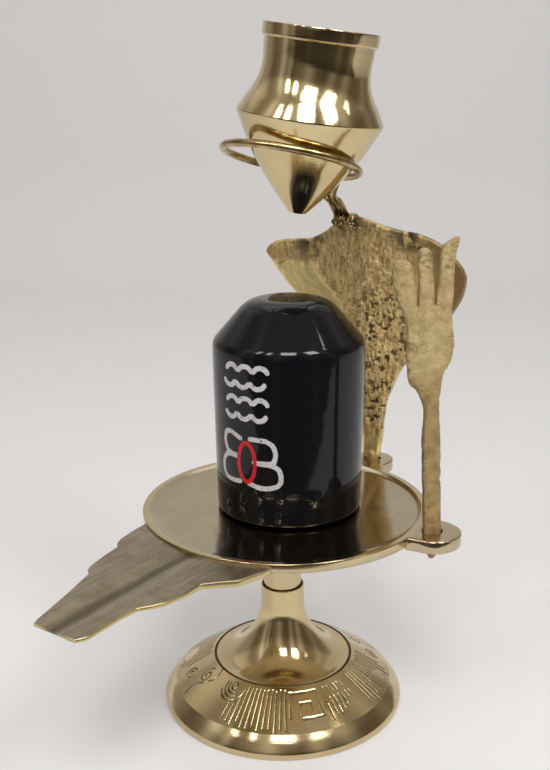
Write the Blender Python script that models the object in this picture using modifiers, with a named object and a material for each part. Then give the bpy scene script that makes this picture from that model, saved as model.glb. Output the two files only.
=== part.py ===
# Shiva lingam on a turned brass foot: a spouted dish carries the black lingam, a cast
# cobra hood and a trident, and a wire loop on the hood holds a drip pot over the lingam.
# Metres, +Z up. The parts are worked out about the foot's axis, and moved together at the
# end so that the origin is under the middle of the whole. The spout points to -X -Y.

import math

import bmesh
import bpy
from mathutils import Matrix, Vector

# Touching pieces keep this gap
GAP = 0.0003
MERGE = 0.00001
# Small broken edges, and how far a cutter passes what it cuts
EDGE = 0.0003
CUT_CLEAR = 0.0010
SMOOTH_ANGLE = math.radians(35)

# Turned foot
FOOT_RADIUS = 0.0276
FOOT_HEIGHT = 0.0279
FOOT_LIP_HEIGHT = 0.0016
FOOT_WALL = 0.0017
FOOT_RING_WIDTH = 0.0026
BAND_OUTER_RADIUS = 0.0250
BAND_OUTER_HEIGHT = 0.0047
BAND_INNER_RADIUS = 0.0156
BAND_INNER_HEIGHT = 0.0105
BAND_GROOVE = 0.0004
BAND_CROWN = 0.0006
COLLAR_RADIUS = 0.0049
COLLAR_LENGTH = 0.0047
SOCKET_DEPTH = 0.0015
CAVITY_RADIUS = 0.0045
FLARE_FULLNESS = 0.9
CAVITY_HEIGHT = 0.0130

# Spouted dish with its spigot and its two ears
SPIGOT_RADIUS = 0.0043
SPIGOT_LENGTH = 0.0184
SPIGOT_FLARE = 0.0040
DISH_RADIUS = 0.0315
DISH_OFFSET_X = 0.0007
DISH_OFFSET_Y = -0.0020
DISH_THICKNESS = 0.0020
RIM_WIDTH = 0.0013
RIM_SLOPE = 0.0012
SEAT_RADIUS = 0.0200
SEAT_DEPTH = 0.0010
FLOOR_RISE = 0.0004
SPOUT_ANGLE = math.radians(-124.6)
SPOUT_LENGTH = 0.0381
SPOUT_ROOT_SHARE = 0.55
SPOUT_STEP = 0.0005
SPOUT_THICKNESS = 0.0014
SPOUT_TIP_THICKNESS = 0.0008
CHANNEL_HALF_WIDTH = 0.0042
CHANNEL_DEPTH = 0.0004
TRIDENT_EAR_RADIUS = 0.0060
HOOD_EAR_RADIUS = 0.0051
EAR_THICKNESS = 0.0029
EAR_HOLE_RADIUS = 0.0021
EAR_OUTSET = 0.0042
EAR_BLEND = 0.0020
EAR_SWEEP = 0.0075
TRIDENT_EAR_ANGLE = math.radians(-29.2)
HOOD_EAR_ANGLE = math.radians(50.5)

# Lingam
LINGAM_RADIUS = 0.0165
LINGAM_FOOT_RADIUS = 0.0160
LINGAM_HEIGHT = 0.0466
LINGAM_SHOULDER = 0.0374
LINGAM_CROWN_RADIUS = 0.0090
LINGAM_EDGE = 0.0012
LINGAM_OFFSET_X = 0.0016
LINGAM_OFFSET_Y = 0.0004

# Drip pot, turned about its own leaning axis and measured up from its tip
POT_TIP_RADIUS = 0.0019
POT_SHOULDER_RADIUS = 0.0151
POT_NECK_RADIUS = 0.0106
POT_RIM_RADIUS = 0.0118
POT_SHOULDER_HEIGHT = 0.0194
POT_HEIGHT = 0.0367
POT_RIM_BAND = 0.0024
POT_BEVEL = 0.0030
POT_BEVEL_INSET = 0.0015
POT_RIM_STEP = 0.0006
POT_BELLY_FULLNESS = 0.0013
POT_WALL = 0.0009
DRIP_HOLE_RADIUS = 0.0007
POT_TIP_X = 0.0035
POT_TIP_Y = 0.0015
POT_TIP_ABOVE_LINGAM = 0.0178
POT_LEAN_RIGHT = math.radians(7.6)
POT_LEAN_FORWARD = math.radians(4.0)

# Wire loop that the pot hangs in
WIRE_RADIUS = 0.0008
LOOP_SEAT = 0.0099
LOOP_TURN_DOWN_RIGHT = math.radians(11.5)
LOOP_TURN_UP_FRONT = math.radians(13.0)
LOOP_SLACK_LEFT = 0.0045
LOOP_OPENING = math.radians(24.0)
LOOP_OPENING_MIDDLE = math.radians(-60.0)
STRAND_BEND = 0.40
STRAND_SAG = 0.0010
BEAD_LENGTH = 0.0072
BEAD_DEPTH = 0.0052
BEAD_HEIGHT = 0.0036
BEAD_DROP = 0.0010

# Cast cobra hood, drawn across its own plane: across from its tang, and up
HOOD_HEIGHT = 0.0605
HOOD_HALF_WIDTH = 0.0250
HOOD_THICKNESS = 0.0024
BEAD_PLACE = 0.44
HOOD_FACING = math.radians(247.0)
HOOD_BOW = 0.0100
HOOD_CUP = 0.0012
HOOD_THROAT = 0.0008
HOOD_THROAT_WIDTH = 0.0040
TANG_RADIUS = 0.0017
TANG_BELOW_EAR = 0.0032
TANG_ABOVE_EAR = 0.0025

# Cast trident
TRIDENT_HEIGHT = 0.0606
TRIDENT_WIDTH = 0.0106
TRIDENT_THICKNESS = 0.0032
TRIDENT_EDGE = 0.0006

TURN_STEPS = 36
SPIGOT_END = FOOT_HEIGHT - SOCKET_DEPTH + GAP
DISH_UNDERSIDE = FOOT_HEIGHT + SPIGOT_LENGTH
DISH_TOP = DISH_UNDERSIDE + DISH_THICKNESS
SEAT_HEIGHT = DISH_TOP - SEAT_DEPTH
LINGAM_BASE = SEAT_HEIGHT + GAP
LINGAM_TOP = LINGAM_BASE + LINGAM_HEIGHT
EAR_UNDERSIDE = DISH_TOP - EAR_THICKNESS
SPOUT_REACH = DISH_RADIUS + SPOUT_LENGTH
SPOUT_ROOT_HALF = DISH_RADIUS * SPOUT_ROOT_SHARE
EAR_REACH = DISH_RADIUS + EAR_OUTSET
TRIDENT_EAR = Vector((math.cos(TRIDENT_EAR_ANGLE), math.sin(TRIDENT_EAR_ANGLE), 0)) * EAR_REACH
HOOD_EAR = Vector((math.cos(HOOD_EAR_ANGLE), math.sin(HOOD_EAR_ANGLE), 0)) * EAR_REACH
POT_TIP = Vector((POT_TIP_X, POT_TIP_Y, LINGAM_TOP + POT_TIP_ABOVE_LINGAM))
POT_TURN = Matrix.Rotation(POT_LEAN_RIGHT, 3, "Y") @ Matrix.Rotation(POT_LEAN_FORWARD, 3, "X")

PART_NAME = "shiva_lingam"
parts = None
cutters = None


def clear_scene():
    for item in list(bpy.data.objects):
        bpy.data.objects.remove(item, do_unlink=True)


def new_collection(name):
    collection = bpy.data.collections.new(name)
    bpy.context.scene.collection.children.link(collection)
    return collection


def new_material(name, colour, roughness, metallic):
    material = bpy.data.materials.new(name)
    material.use_nodes = True
    shader = material.node_tree.nodes["Principled BSDF"]
    shader.inputs["Base Color"].default_value = (*colour, 1.0)
    shader.inputs["Roughness"].default_value = roughness
    shader.inputs["Metallic"].default_value = metallic
    return material


def add_object(name, data, collection, material=None):
    item = bpy.data.objects.new(name, data)
    collection.objects.link(item)
    if material is not None:
        item.data.materials.append(material)
    return item


def add_cutter(name, data):
    item = add_object(name, data, cutters)
    item.hide_render = True
    item.display_type = "WIRE"
    return item


def evaluated_mesh(item):
    bpy.context.view_layer.update()
    graph = bpy.context.evaluated_depsgraph_get()
    mesh = bpy.data.meshes.new_from_object(item.evaluated_get(graph))
    body = bmesh.new()
    body.from_mesh(mesh)
    bmesh.ops.remove_doubles(body, verts=body.verts, dist=MERGE)
    body.to_mesh(mesh)
    body.free()
    return mesh


def make_mesh(item, name, collection):
    """Replaces a curve, or an object with modifiers, by the plain mesh that it shows."""
    mesh = evaluated_mesh(item)
    place = item.matrix_world.copy()
    bpy.data.objects.remove(item, do_unlink=True)
    solid = bpy.data.objects.new(name, mesh)
    collection.objects.link(solid)
    solid.matrix_world = place
    return solid


def combine(item, other, operation):
    """Adds a Boolean; a second body that is joined or cut away moves to the cutters."""
    modifier = item.modifiers.new(operation.title(), "BOOLEAN")
    modifier.operation = operation
    modifier.solver = "EXACT"
    modifier.object = other
    other.hide_render = True
    other.display_type = "WIRE"
    for collection in list(other.users_collection):
        collection.objects.unlink(other)
    cutters.objects.link(other)


def turned(name, profile, collection, steps=TURN_STEPS, closed=False):
    """Turns an outline of (radius, height) about Z; it runs down the outer side."""
    mesh = bpy.data.meshes.new(name)
    count = len(profile)
    links = [(i, i + 1) for i in range(count - 1)]
    if closed:
        links.append((count - 1, 0))
    mesh.from_pydata([(radius, 0, height) for radius, height in profile], links, [])
    item = add_object(name, mesh, collection)
    screw = item.modifiers.new("Screw", "SCREW")
    screw.angle = math.tau
    screw.steps = steps
    screw.render_steps = steps
    screw.use_merge_vertices = True
    screw.merge_threshold = MERGE
    return item


def flat_plate(name, outline, thickness, top, collection):
    """A closed flat outline of (x, y) filled and given its thickness, below top."""
    curve = bpy.data.curves.new(name, "CURVE")
    curve.dimensions = "2D"
    curve.fill_mode = "BOTH"
    curve.extrude = thickness / 2
    spline = curve.splines.new("POLY")
    spline.points.add(len(outline) - 1)
    for point, (x, y) in zip(spline.points, outline):
        point.co = (x, y, 0, 1)
    spline.use_cyclic_u = True
    item = add_object(name, curve, collection)
    item.location.z = top - thickness / 2
    return make_mesh(item, name, collection)


def cylinder(name, radius, low, high, centre, steps, end_radius=None):
    body = bmesh.new()
    bmesh.ops.create_cone(
        body,
        cap_ends=True,
        segments=steps,
        radius1=radius if end_radius is None else end_radius,
        radius2=radius,
        depth=high - low,
    )
    mesh = bpy.data.meshes.new(name)
    body.to_mesh(mesh)
    body.free()
    item = add_cutter(name, mesh)
    item.location = (centre.x, centre.y, (low + high) / 2)
    return item


def smooth_step(value):
    value = min(1.0, max(0.0, value))
    return value * value * (3 - 2 * value)


def through(points, share):
    """A point at a share (0 to 1) of the way along a smooth curve through points."""
    place = min(max(share, 0.0), 1.0) * (len(points) - 1)
    index = min(int(place), len(points) - 2)
    t = place - index
    near = [Vector(points[min(max(index + k, 0), len(points) - 1)]) for k in (-1, 0, 1, 2)]
    first = (near[2] - near[0]) / 2
    last = (near[3] - near[1]) / 2
    return (
        near[1] * (2 * t**3 - 3 * t**2 + 1)
        + first * (t**3 - 2 * t**2 + t)
        + near[2] * (3 * t**2 - 2 * t**3)
        + last * (t**3 - t**2)
    )


def arc(centre, radius, start, end, steps):
    """Points on an arc, from start to end in degrees, both ends included."""
    angles = [math.radians(start + (end - start) * i / steps) for i in range(steps + 1)]
    return [(centre[0] + radius * math.cos(a), centre[1] + radius * math.sin(a)) for a in angles]


def finish(item, material, collection):
    item.data.shade_smooth()
    item.data.set_sharp_from_angle(angle=SMOOTH_ANGLE)
    item.data.materials.clear()
    item.data.materials.append(material)
    if item.name not in collection.objects:
        collection.objects.link(item)


def foot_outline():
    """Socket, collar, flared neck, engraved band, rim, then up the hollow inside."""
    socket = SPIGOT_RADIUS + GAP
    neck_height = FOOT_HEIGHT - COLLAR_LENGTH
    chamfer = (COLLAR_RADIUS - socket) / 2
    outline = [
        (0, FOOT_HEIGHT - SOCKET_DEPTH),
        (socket, FOOT_HEIGHT - SOCKET_DEPTH),
        (socket, FOOT_HEIGHT - chamfer),
        (socket + chamfer, FOOT_HEIGHT),
        (COLLAR_RADIUS, FOOT_HEIGHT - chamfer),
    ]
    # The neck is a quarter of an ellipse-like curve, steep above and flat below
    flare_steps = 7
    for i in range(flare_steps + 1):
        a = i / flare_steps * math.pi / 2
        outline.append((
            COLLAR_RADIUS + (BAND_INNER_RADIUS - COLLAR_RADIUS) * (1 - math.cos(a)) ** FLARE_FULLNESS,
            BAND_INNER_HEIGHT + (neck_height - BAND_INNER_HEIGHT) * (1 - math.sin(a)) ** FLARE_FULLNESS,
        ))
    outline += [
        (BAND_INNER_RADIUS + BAND_GROOVE, BAND_INNER_HEIGHT - BAND_GROOVE),
        (BAND_INNER_RADIUS + 2 * BAND_GROOVE, BAND_INNER_HEIGHT),
    ]
    band_steps = 3
    for i in range(1, band_steps + 1):
        t = i / band_steps
        outline.append((
            BAND_INNER_RADIUS + (BAND_OUTER_RADIUS - BAND_INNER_RADIUS) * t,
            BAND_INNER_HEIGHT + (BAND_OUTER_HEIGHT - BAND_INNER_HEIGHT) * t
            + BAND_CROWN * math.sin(math.pi * t),
        ))
    rim_middle = (BAND_OUTER_RADIUS + FOOT_RADIUS) / 2
    outline += [
        (rim_middle, (BAND_OUTER_HEIGHT + FOOT_LIP_HEIGHT) / 2 + EDGE),
        (FOOT_RADIUS - EDGE / 2, FOOT_LIP_HEIGHT),
        (FOOT_RADIUS, FOOT_LIP_HEIGHT / 2),
        (FOOT_RADIUS - EDGE, 0),
        (FOOT_RADIUS - FOOT_RING_WIDTH, 0),
        (BAND_OUTER_RADIUS - FOOT_WALL, BAND_OUTER_HEIGHT - FOOT_WALL),
        (BAND_INNER_RADIUS, BAND_INNER_HEIGHT - FOOT_WALL),
        ((BAND_INNER_RADIUS + CAVITY_RADIUS) / 2, (BAND_INNER_HEIGHT + CAVITY_HEIGHT) / 2 - FOOT_WALL),
        (CAVITY_RADIUS, CAVITY_HEIGHT),
        (0, CAVITY_HEIGHT),
    ]
    return outline


def build_foot(brass):
    foot = turned("turned_foot", foot_outline(), parts)
    finish(foot, brass, parts)


def spout_edges():
    """Both edges from root to tip, in shares of the reach and of the half width."""
    left = [
        (0.36, 1.0), (0.43, 0.985), (0.506, 0.94), (0.535, 0.89), (0.55, 0.815), (0.62, 0.77),
        (0.686, 0.715), (0.712, 0.665), (0.722, 0.59), (0.85, 0.43), (0.985, 0.28), (1.0, 0.25),
    ]
    right = [
        (0.36, 1.0), (0.445, 0.995), (0.53, 0.90), (0.568, 0.74), (0.605, 0.605), (0.668, 0.615),
        (0.735, 0.57), (0.768, 0.50), (0.80, 0.41), (0.858, 0.385), (0.975, 0.40), (1.0, 0.345),
    ]
    return left, right


def build_spout():
    """A thin tongue, thinner at its tip, with a shallow channel down its middle."""
    left, right = spout_edges()
    outline = [(u * SPOUT_REACH, -v * SPOUT_ROOT_HALF) for u, v in left]
    outline += [(u * SPOUT_REACH, v * SPOUT_ROOT_HALF) for u, v in reversed(right)]
    spout_top = DISH_TOP - SPOUT_STEP
    spout = flat_plate("spout_body", outline, SPOUT_THICKNESS, spout_top, cutters)
    middle = -SPOUT_THICKNESS / 4
    for vertex in spout.data.vertices:
        if vertex.co.z < middle:
            share = smooth_step((vertex.co.x - DISH_RADIUS) / (SPOUT_REACH * 0.8 - DISH_RADIUS))
            vertex.co.z += (SPOUT_THICKNESS - SPOUT_TIP_THICKNESS) * share
    # The channel's cutter is a wide flat three-sided bar whose lower edge is the channel
    clear = CUT_CLEAR
    start, end = DISH_RADIUS - clear, SPOUT_REACH + clear
    half = CHANNEL_HALF_WIDTH * (CHANNEL_DEPTH + clear) / CHANNEL_DEPTH
    bar = bmesh.new()
    bmesh.ops.create_cone(bar, cap_ends=True, segments=3, radius1=1, radius2=1, depth=end - start)
    mesh = bpy.data.meshes.new("channel_cutter")
    bar.to_mesh(mesh)
    bar.free()
    # A three-sided cone end of radius 1 has its point at +Y and its flat side at -Y / 2
    for vertex in mesh.vertices:
        point, across, along = vertex.co.y, vertex.co.x, vertex.co.z
        vertex.co = Vector((
            (start + end) / 2 + along,
            across * half / math.cos(math.radians(30)),
            clear - (point + 0.5) / 1.5 * (clear + CHANNEL_DEPTH),
        ))
    mesh.flip_normals()
    channel = add_cutter("channel_cutter", mesh)
    channel.location.z = spout_top
    combine(spout, channel, "DIFFERENCE")
    spout.rotation_euler.z = SPOUT_ANGLE
    channel.rotation_euler.z = SPOUT_ANGLE
    return spout


def build_ear(name, angle, radius):
    """A round-ended ear that swells out of the dish's edge in two hollow curves."""
    inside = DISH_RADIUS * 0.78
    blend = DISH_RADIUS + EAR_BLEND
    side = []
    steps = 6
    for i in range(steps + 1):
        along = inside + (EAR_REACH - inside) * i / steps
        spread = 1 - smooth_step((along - inside) / (blend - inside))
        side.append((along, -(radius + EAR_SWEEP * spread)))
    tip = arc((EAR_REACH, 0), radius, -90, 90, 10)[1:-1]
    outline = side + tip + [(along, -across) for along, across in reversed(side)]
    ear = flat_plate(name, outline, EAR_THICKNESS, DISH_TOP, cutters)
    ear.rotation_euler.z = angle
    return ear


def build_dish(brass):
    rim_radius = DISH_RADIUS - RIM_WIDTH
    # Disc, flared spigot and underside are one turned body
    flare = []
    for degrees in (80, 55, 30, 0):
        a = math.radians(degrees)
        flare.append((
            SPIGOT_RADIUS + SPIGOT_FLARE * (1 - math.cos(a)),
            DISH_UNDERSIDE - SPIGOT_FLARE * (1 - math.sin(a)),
        ))
    outline = [
        (0, DISH_TOP),
        (DISH_RADIUS - EDGE, DISH_TOP),
        (DISH_RADIUS, DISH_TOP - EDGE),
        (DISH_RADIUS, DISH_UNDERSIDE + EDGE),
        (DISH_RADIUS - EDGE, DISH_UNDERSIDE),
        *flare,
        (SPIGOT_RADIUS, SPIGOT_END),
        (0, SPIGOT_END),
    ]
    disc = turned("spouted_dish", outline, parts, steps=44)
    # The dish is a little off the stem's axis, so only its wide part is moved
    disc = make_mesh(disc, "spouted_dish", parts)
    for vertex in disc.data.vertices:
        if vertex.co.z > DISH_UNDERSIDE - MERGE:
            share = smooth_step((math.hypot(vertex.co.x, vertex.co.y) - SPIGOT_RADIUS) / DISH_RADIUS * 2)
            vertex.co.x += DISH_OFFSET_X * share
            vertex.co.y += DISH_OFFSET_Y * share
    combine(disc, build_spout(), "UNION")
    combine(disc, build_ear("trident_ear", TRIDENT_EAR_ANGLE, TRIDENT_EAR_RADIUS), "UNION")
    combine(disc, build_ear("hood_ear", HOOD_EAR_ANGLE, HOOD_EAR_RADIUS), "UNION")
    hollow_outline = [
        (0, DISH_TOP + CUT_CLEAR),
        (rim_radius, DISH_TOP + CUT_CLEAR),
        (rim_radius, DISH_TOP - EDGE / 3),
        (rim_radius - RIM_SLOPE, SEAT_HEIGHT + FLOOR_RISE),
        ((rim_radius - RIM_SLOPE + SEAT_RADIUS) / 2, SEAT_HEIGHT + FLOOR_RISE / 3),
        (SEAT_RADIUS, SEAT_HEIGHT),
        (0, SEAT_HEIGHT),
    ]
    hollow = turned("hollow_cutter", hollow_outline, cutters, steps=44)
    hollow.location = (DISH_OFFSET_X, DISH_OFFSET_Y, 0)
    combine(disc, hollow, "DIFFERENCE")
    for name, ear in (("trident_hole", TRIDENT_EAR), ("hood_hole", HOOD_EAR)):
        hole = cylinder(name, EAR_HOLE_RADIUS, EAR_UNDERSIDE - CUT_CLEAR, DISH_TOP + CUT_CLEAR, ear, 20)
        combine(disc, hole, "DIFFERENCE")
    finish(disc, brass, parts)


def lingam_outline():
    edge = LINGAM_EDGE
    top = LINGAM_HEIGHT
    shoulder = LINGAM_SHOULDER
    slope = Vector((LINGAM_CROWN_RADIUS - LINGAM_RADIUS, top - shoulder)).normalized()
    outline = [(0, top), (LINGAM_CROWN_RADIUS - 2 * edge, top)]
    # The crown's edge is a soft quarter turn into the sloping shoulder
    for t in (0.35, 0.7, 1.0):
        a = t * math.pi / 2
        outline.append((
            LINGAM_CROWN_RADIUS - 2 * edge + 2.6 * edge * math.sin(a),
            top - 1.3 * edge * (1 - math.cos(a)),
        ))
    outline += [
        (LINGAM_RADIUS + slope.x * edge, shoulder + slope.y * edge),
        (LINGAM_RADIUS - edge * 0.12, shoulder + edge * 0.1),
        (LINGAM_RADIUS, shoulder - edge),
        (LINGAM_FOOT_RADIUS, edge * 1.2),
        (LINGAM_FOOT_RADIUS - edge * 0.35, edge * 0.35),
        (LINGAM_FOOT_RADIUS - edge, 0),
        (0, 0),
    ]
    return outline


def build_lingam(stone):
    lingam = turned("lingam", lingam_outline(), parts, steps=48)
    lingam.location = (LINGAM_OFFSET_X, LINGAM_OFFSET_Y, LINGAM_BASE)
    finish(lingam, stone, parts)


def pot_outer():
    """The pot's outer side from its rim down to its tip, as (radius, height)."""
    shoulder = POT_SHOULDER_HEIGHT
    rim_low = POT_HEIGHT - POT_RIM_BAND
    neck_foot = shoulder + POT_BEVEL
    bevel_radius = POT_SHOULDER_RADIUS - POT_BEVEL_INSET
    neck_top = POT_RIM_RADIUS - POT_RIM_STEP
    outer = [
        (POT_RIM_RADIUS - EDGE, POT_HEIGHT),
        (POT_RIM_RADIUS, POT_HEIGHT - EDGE),
        (POT_RIM_RADIUS - EDGE / 3, rim_low),
        (neck_top, rim_low - EDGE),
    ]
    # Between rim and shoulder the side is a hollow curve, tightest near the rim
    steps = 7
    for i in range(1, steps + 1):
        t = i / steps
        straight = neck_top * (1 - t) + bevel_radius * t
        sag = (straight - POT_NECK_RADIUS) * 0.78 * math.sin(math.pi * t ** 0.8)
        outer.append((straight - sag, (rim_low - EDGE) * (1 - t) + neck_foot * t))
    outer += [
        (POT_SHOULDER_RADIUS, shoulder + EDGE / 2),
        (POT_SHOULDER_RADIUS, shoulder - EDGE / 2),
    ]
    belly_steps = 6
    for i in range(1, belly_steps + 1):
        t = i / belly_steps
        straight = POT_SHOULDER_RADIUS * (1 - t) + POT_TIP_RADIUS * t
        outer.append((straight + POT_BELLY_FULLNESS * math.sin(math.pi * t), shoulder * (1 - t)))
    return outer


def build_pot(brass):
    outer = pot_outer()
    # The inside follows the outside one wall further in, down to the drip hole
    floor = POT_WALL * 2.2
    inner = [
        (max(radius - POT_WALL * 1.15, DRIP_HOLE_RADIUS), height)
        for radius, height in reversed(outer)
        if floor < height < POT_HEIGHT - POT_RIM_BAND
    ]
    mouth = POT_RIM_RADIUS - POT_WALL - POT_RIM_STEP
    inner = [(DRIP_HOLE_RADIUS, 0), (DRIP_HOLE_RADIUS, floor), *inner, (mouth, POT_HEIGHT - POT_RIM_BAND)]
    outline = [*outer, *inner, (mouth, POT_HEIGHT)]
    pot = turned("drip_pot", outline, parts, steps=32, closed=True)
    pot.location = POT_TIP
    pot.rotation_euler = POT_TURN.to_euler()
    finish(pot, brass, parts)


def pot_distance(point, outline):
    """How far a point is from the pot's outer side."""
    local = POT_TURN.transposed() @ (point - POT_TIP)
    flat = Vector((math.hypot(local.x, local.y), local.z))
    best = math.inf
    for (r1, h1), (r2, h2) in zip(outline, outline[1:]):
        start, run = Vector((r1, h1)), Vector((r2 - r1, h2 - h1))
        share = min(1.0, max(0.0, (flat - start).dot(run) / run.length_squared))
        best = min(best, (flat - start - run * share).length)
    return best


def loop_point(angle, outline):
    """The wire's middle at an angle round the loop: it hugs the pot, slack at the left."""
    right = Vector((math.cos(LOOP_TURN_DOWN_RIGHT), 0, -math.sin(LOOP_TURN_DOWN_RIGHT)))
    front = Vector((0, -math.cos(LOOP_TURN_UP_FRONT), math.sin(LOOP_TURN_UP_FRONT)))
    seat = POT_TIP + POT_TURN @ Vector((0, 0, LOOP_SEAT))
    heading = right * math.cos(angle) + front * math.sin(angle)
    near, far = 0.0, POT_SHOULDER_RADIUS * 1.5
    wanted = WIRE_RADIUS + 2 * GAP
    for _ in range(24):
        middle = (near + far) / 2
        local = POT_TURN.transposed() @ (seat + heading * middle - POT_TIP)
        side = math.hypot(local.x, local.y)
        inside = side < through_pot(local.z, outline)
        if inside or pot_distance(seat + heading * middle, outline) < wanted:
            near = middle
        else:
            far = middle
    slack = LOOP_SLACK_LEFT * max(0.0, -math.cos(angle)) ** 2
    return seat + heading * (far + slack)


def through_pot(height, outline):
    """The pot's outer radius at a height above its tip."""
    for (r1, h1), (r2, h2) in zip(outline, outline[1:]):
        if h2 <= height <= h1 and h1 > h2:
            return r2 + (r1 - r2) * (height - h2) / (h1 - h2)
    return 0.0


def hood_surface(across, up, lift=0.0):
    """A point on the middle of the hood's sheet, for a place in the hood's own plane."""
    facing = Vector((math.cos(HOOD_FACING), math.sin(HOOD_FACING), 0))
    right = Vector((-facing.y, facing.x, 0))
    forward = HOOD_BOW * max(0.0, up / HOOD_HEIGHT) ** 1.8
    spread = min(1.0, abs(across) / HOOD_HALF_WIDTH)
    forward += HOOD_CUP * spread**2 * smooth_step(up / HOOD_HEIGHT * 1.5)
    ridge = math.exp(-((across / HOOD_THROAT_WIDTH) ** 2))
    forward += HOOD_THROAT * ridge * smooth_step(up / HOOD_HEIGHT * 2)
    return HOOD_EAR + Vector((0, 0, DISH_TOP + GAP + up + lift)) + right * across + facing * forward


def hood_edges():
    """Left, right and top edges in shares of the half width and of the height."""
    left = [
        (-0.10, 0.0), (-0.10, 0.09), (-0.12, 0.19), (-0.16, 0.28), (-0.28, 0.42), (-0.41, 0.52),
        (-0.60, 0.62), (-0.79, 0.715), (-0.91, 0.79), (-0.984, 0.85),
    ]
    right = [
        (0.075, 0.0), (0.105, 0.09), (0.13, 0.19), (0.17, 0.27), (0.34, 0.42), (0.50, 0.50),
        (0.68, 0.575), (0.83, 0.655), (0.91, 0.72), (0.94, 0.78),
    ]
    top = [
        (-0.984, 0.85), (-0.95, 0.875), (-0.85, 0.897), (-0.70, 0.905), (-0.54, 0.91), (-0.40, 0.935),
        (-0.30, 0.965), (-0.18, 0.995), (-0.07, 1.005), (0.05, 0.992), (0.155, 0.976), (0.335, 0.956),
        (0.519, 0.944), (0.70, 0.912), (0.83, 0.862), (0.91, 0.82), (0.94, 0.78),
    ]
    return left, right, top


def hood_place(column, row, edges):
    """A place in the hood's plane for shares across and up; the top's shape fades down."""
    left, right, top = edges
    across = through(left, row).lerp(through(right, row), column)
    level = Vector(top[0]).lerp(Vector(top[-1]), column)
    place = across + (through(top, column) - level) * row**3
    return place.x * HOOD_HALF_WIDTH, place.y * HOOD_HEIGHT


def hood_sheet(name, thickness, lift, collection):
    """The hood's curved sheet, given its thickness to both sides."""
    columns, rows = 14, 18
    edges = hood_edges()
    sheet = bmesh.new()
    grid = []
    for j in range(rows + 1):
        places = [hood_place(i / columns, j / rows, edges) for i in range(columns + 1)]
        grid.append([sheet.verts.new(hood_surface(across, up, lift)) for across, up in places])
    for j in range(rows):
        for i in range(columns):
            sheet.faces.new((grid[j][i], grid[j][i + 1], grid[j + 1][i + 1], grid[j + 1][i]))
    mesh = bpy.data.meshes.new(name)
    sheet.to_mesh(mesh)
    sheet.free()
    item = add_object(name, mesh, collection)
    wall = item.modifiers.new("Solidify", "SOLIDIFY")
    wall.thickness = thickness
    wall.offset = 0
    return item


def build_tang(name, ear, end_radius):
    """The round pin that goes through its ear and ends thinner below it."""
    low = EAR_UNDERSIDE - TANG_BELOW_EAR
    return cylinder(name, TANG_RADIUS, low, DISH_TOP + TANG_ABOVE_EAR, ear, 16, end_radius)


def build_hood(cast):
    hood = hood_sheet("cobra_hood", HOOD_THICKNESS, 0, parts)
    tang = build_tang("hood_tang", HOOD_EAR, TANG_RADIUS * 0.6)
    combine(hood, tang, "UNION")
    finish(hood, cast, parts)


def wire_path(outline):
    """Up from the bead, once round the pot and back down beside the first strand."""
    crest = hood_surface(*hood_place(BEAD_PLACE, 1.0, hood_edges())) + Vector((0, 0, BEAD_HEIGHT * 0.45))
    start = LOOP_OPENING_MIDDLE - LOOP_OPENING / 2
    turns = 34
    loop = [
        loop_point(start - (math.tau - LOOP_OPENING) * i / turns, outline) for i in range(turns + 1)
    ]
    apart = WIRE_RADIUS + GAP / 2
    beside = Vector((math.cos(HOOD_FACING + math.pi / 2), math.sin(HOOD_FACING + math.pi / 2), 0)) * apart
    gather = ((loop[0] + loop[-1]) / 2).lerp(crest, STRAND_BEND)
    gather.x -= STRAND_SAG
    gather.z -= STRAND_SAG
    half_way = crest.lerp(gather, 0.5)
    crest = crest - beside
    first = [crest - beside, half_way - beside, gather - beside]
    last = [gather + beside, half_way + beside, crest + beside]
    return first + loop[1:-1] + last


def build_wire_loop(brass):
    outline = pot_outer()
    route = wire_path(outline)
    count = 56
    curve = bpy.data.curves.new("wire_loop", "CURVE")
    curve.dimensions = "3D"
    curve.bevel_depth = WIRE_RADIUS
    curve.bevel_resolution = 2
    curve.use_fill_caps = True
    spline = curve.splines.new("POLY")
    spline.points.add(count)
    for i, point in enumerate(spline.points):
        point.co = (*through(route, i / count), 1)
    wire = make_mesh(add_object("wire_loop", curve, parts), "wire_loop", parts)
    # The solder bead is a saddle: a lump with the hood's crest cut out of it
    lump = bmesh.new()
    bmesh.ops.create_uvsphere(lump, u_segments=16, v_segments=10, radius=0.5)
    mesh = bpy.data.meshes.new("solder_bead")
    lump.to_mesh(mesh)
    lump.free()
    for vertex in mesh.vertices:
        place = vertex.co
        vertex.co = Vector((place.x * BEAD_LENGTH, place.y * BEAD_DEPTH, place.z * BEAD_HEIGHT * 1.4))
    bead = add_cutter("solder_bead", mesh)
    crest = hood_surface(*hood_place(BEAD_PLACE, 1.0, hood_edges()))
    bead.location = crest - Vector((0, 0, BEAD_DROP))
    bead.rotation_euler.z = HOOD_FACING + math.pi / 2
    combine(wire, bead, "UNION")
    slot = hood_sheet("crest_cutter", HOOD_THICKNESS + 2 * GAP, GAP, cutters)
    combine(wire, slot, "DIFFERENCE")
    finish(wire, brass, parts)


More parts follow.
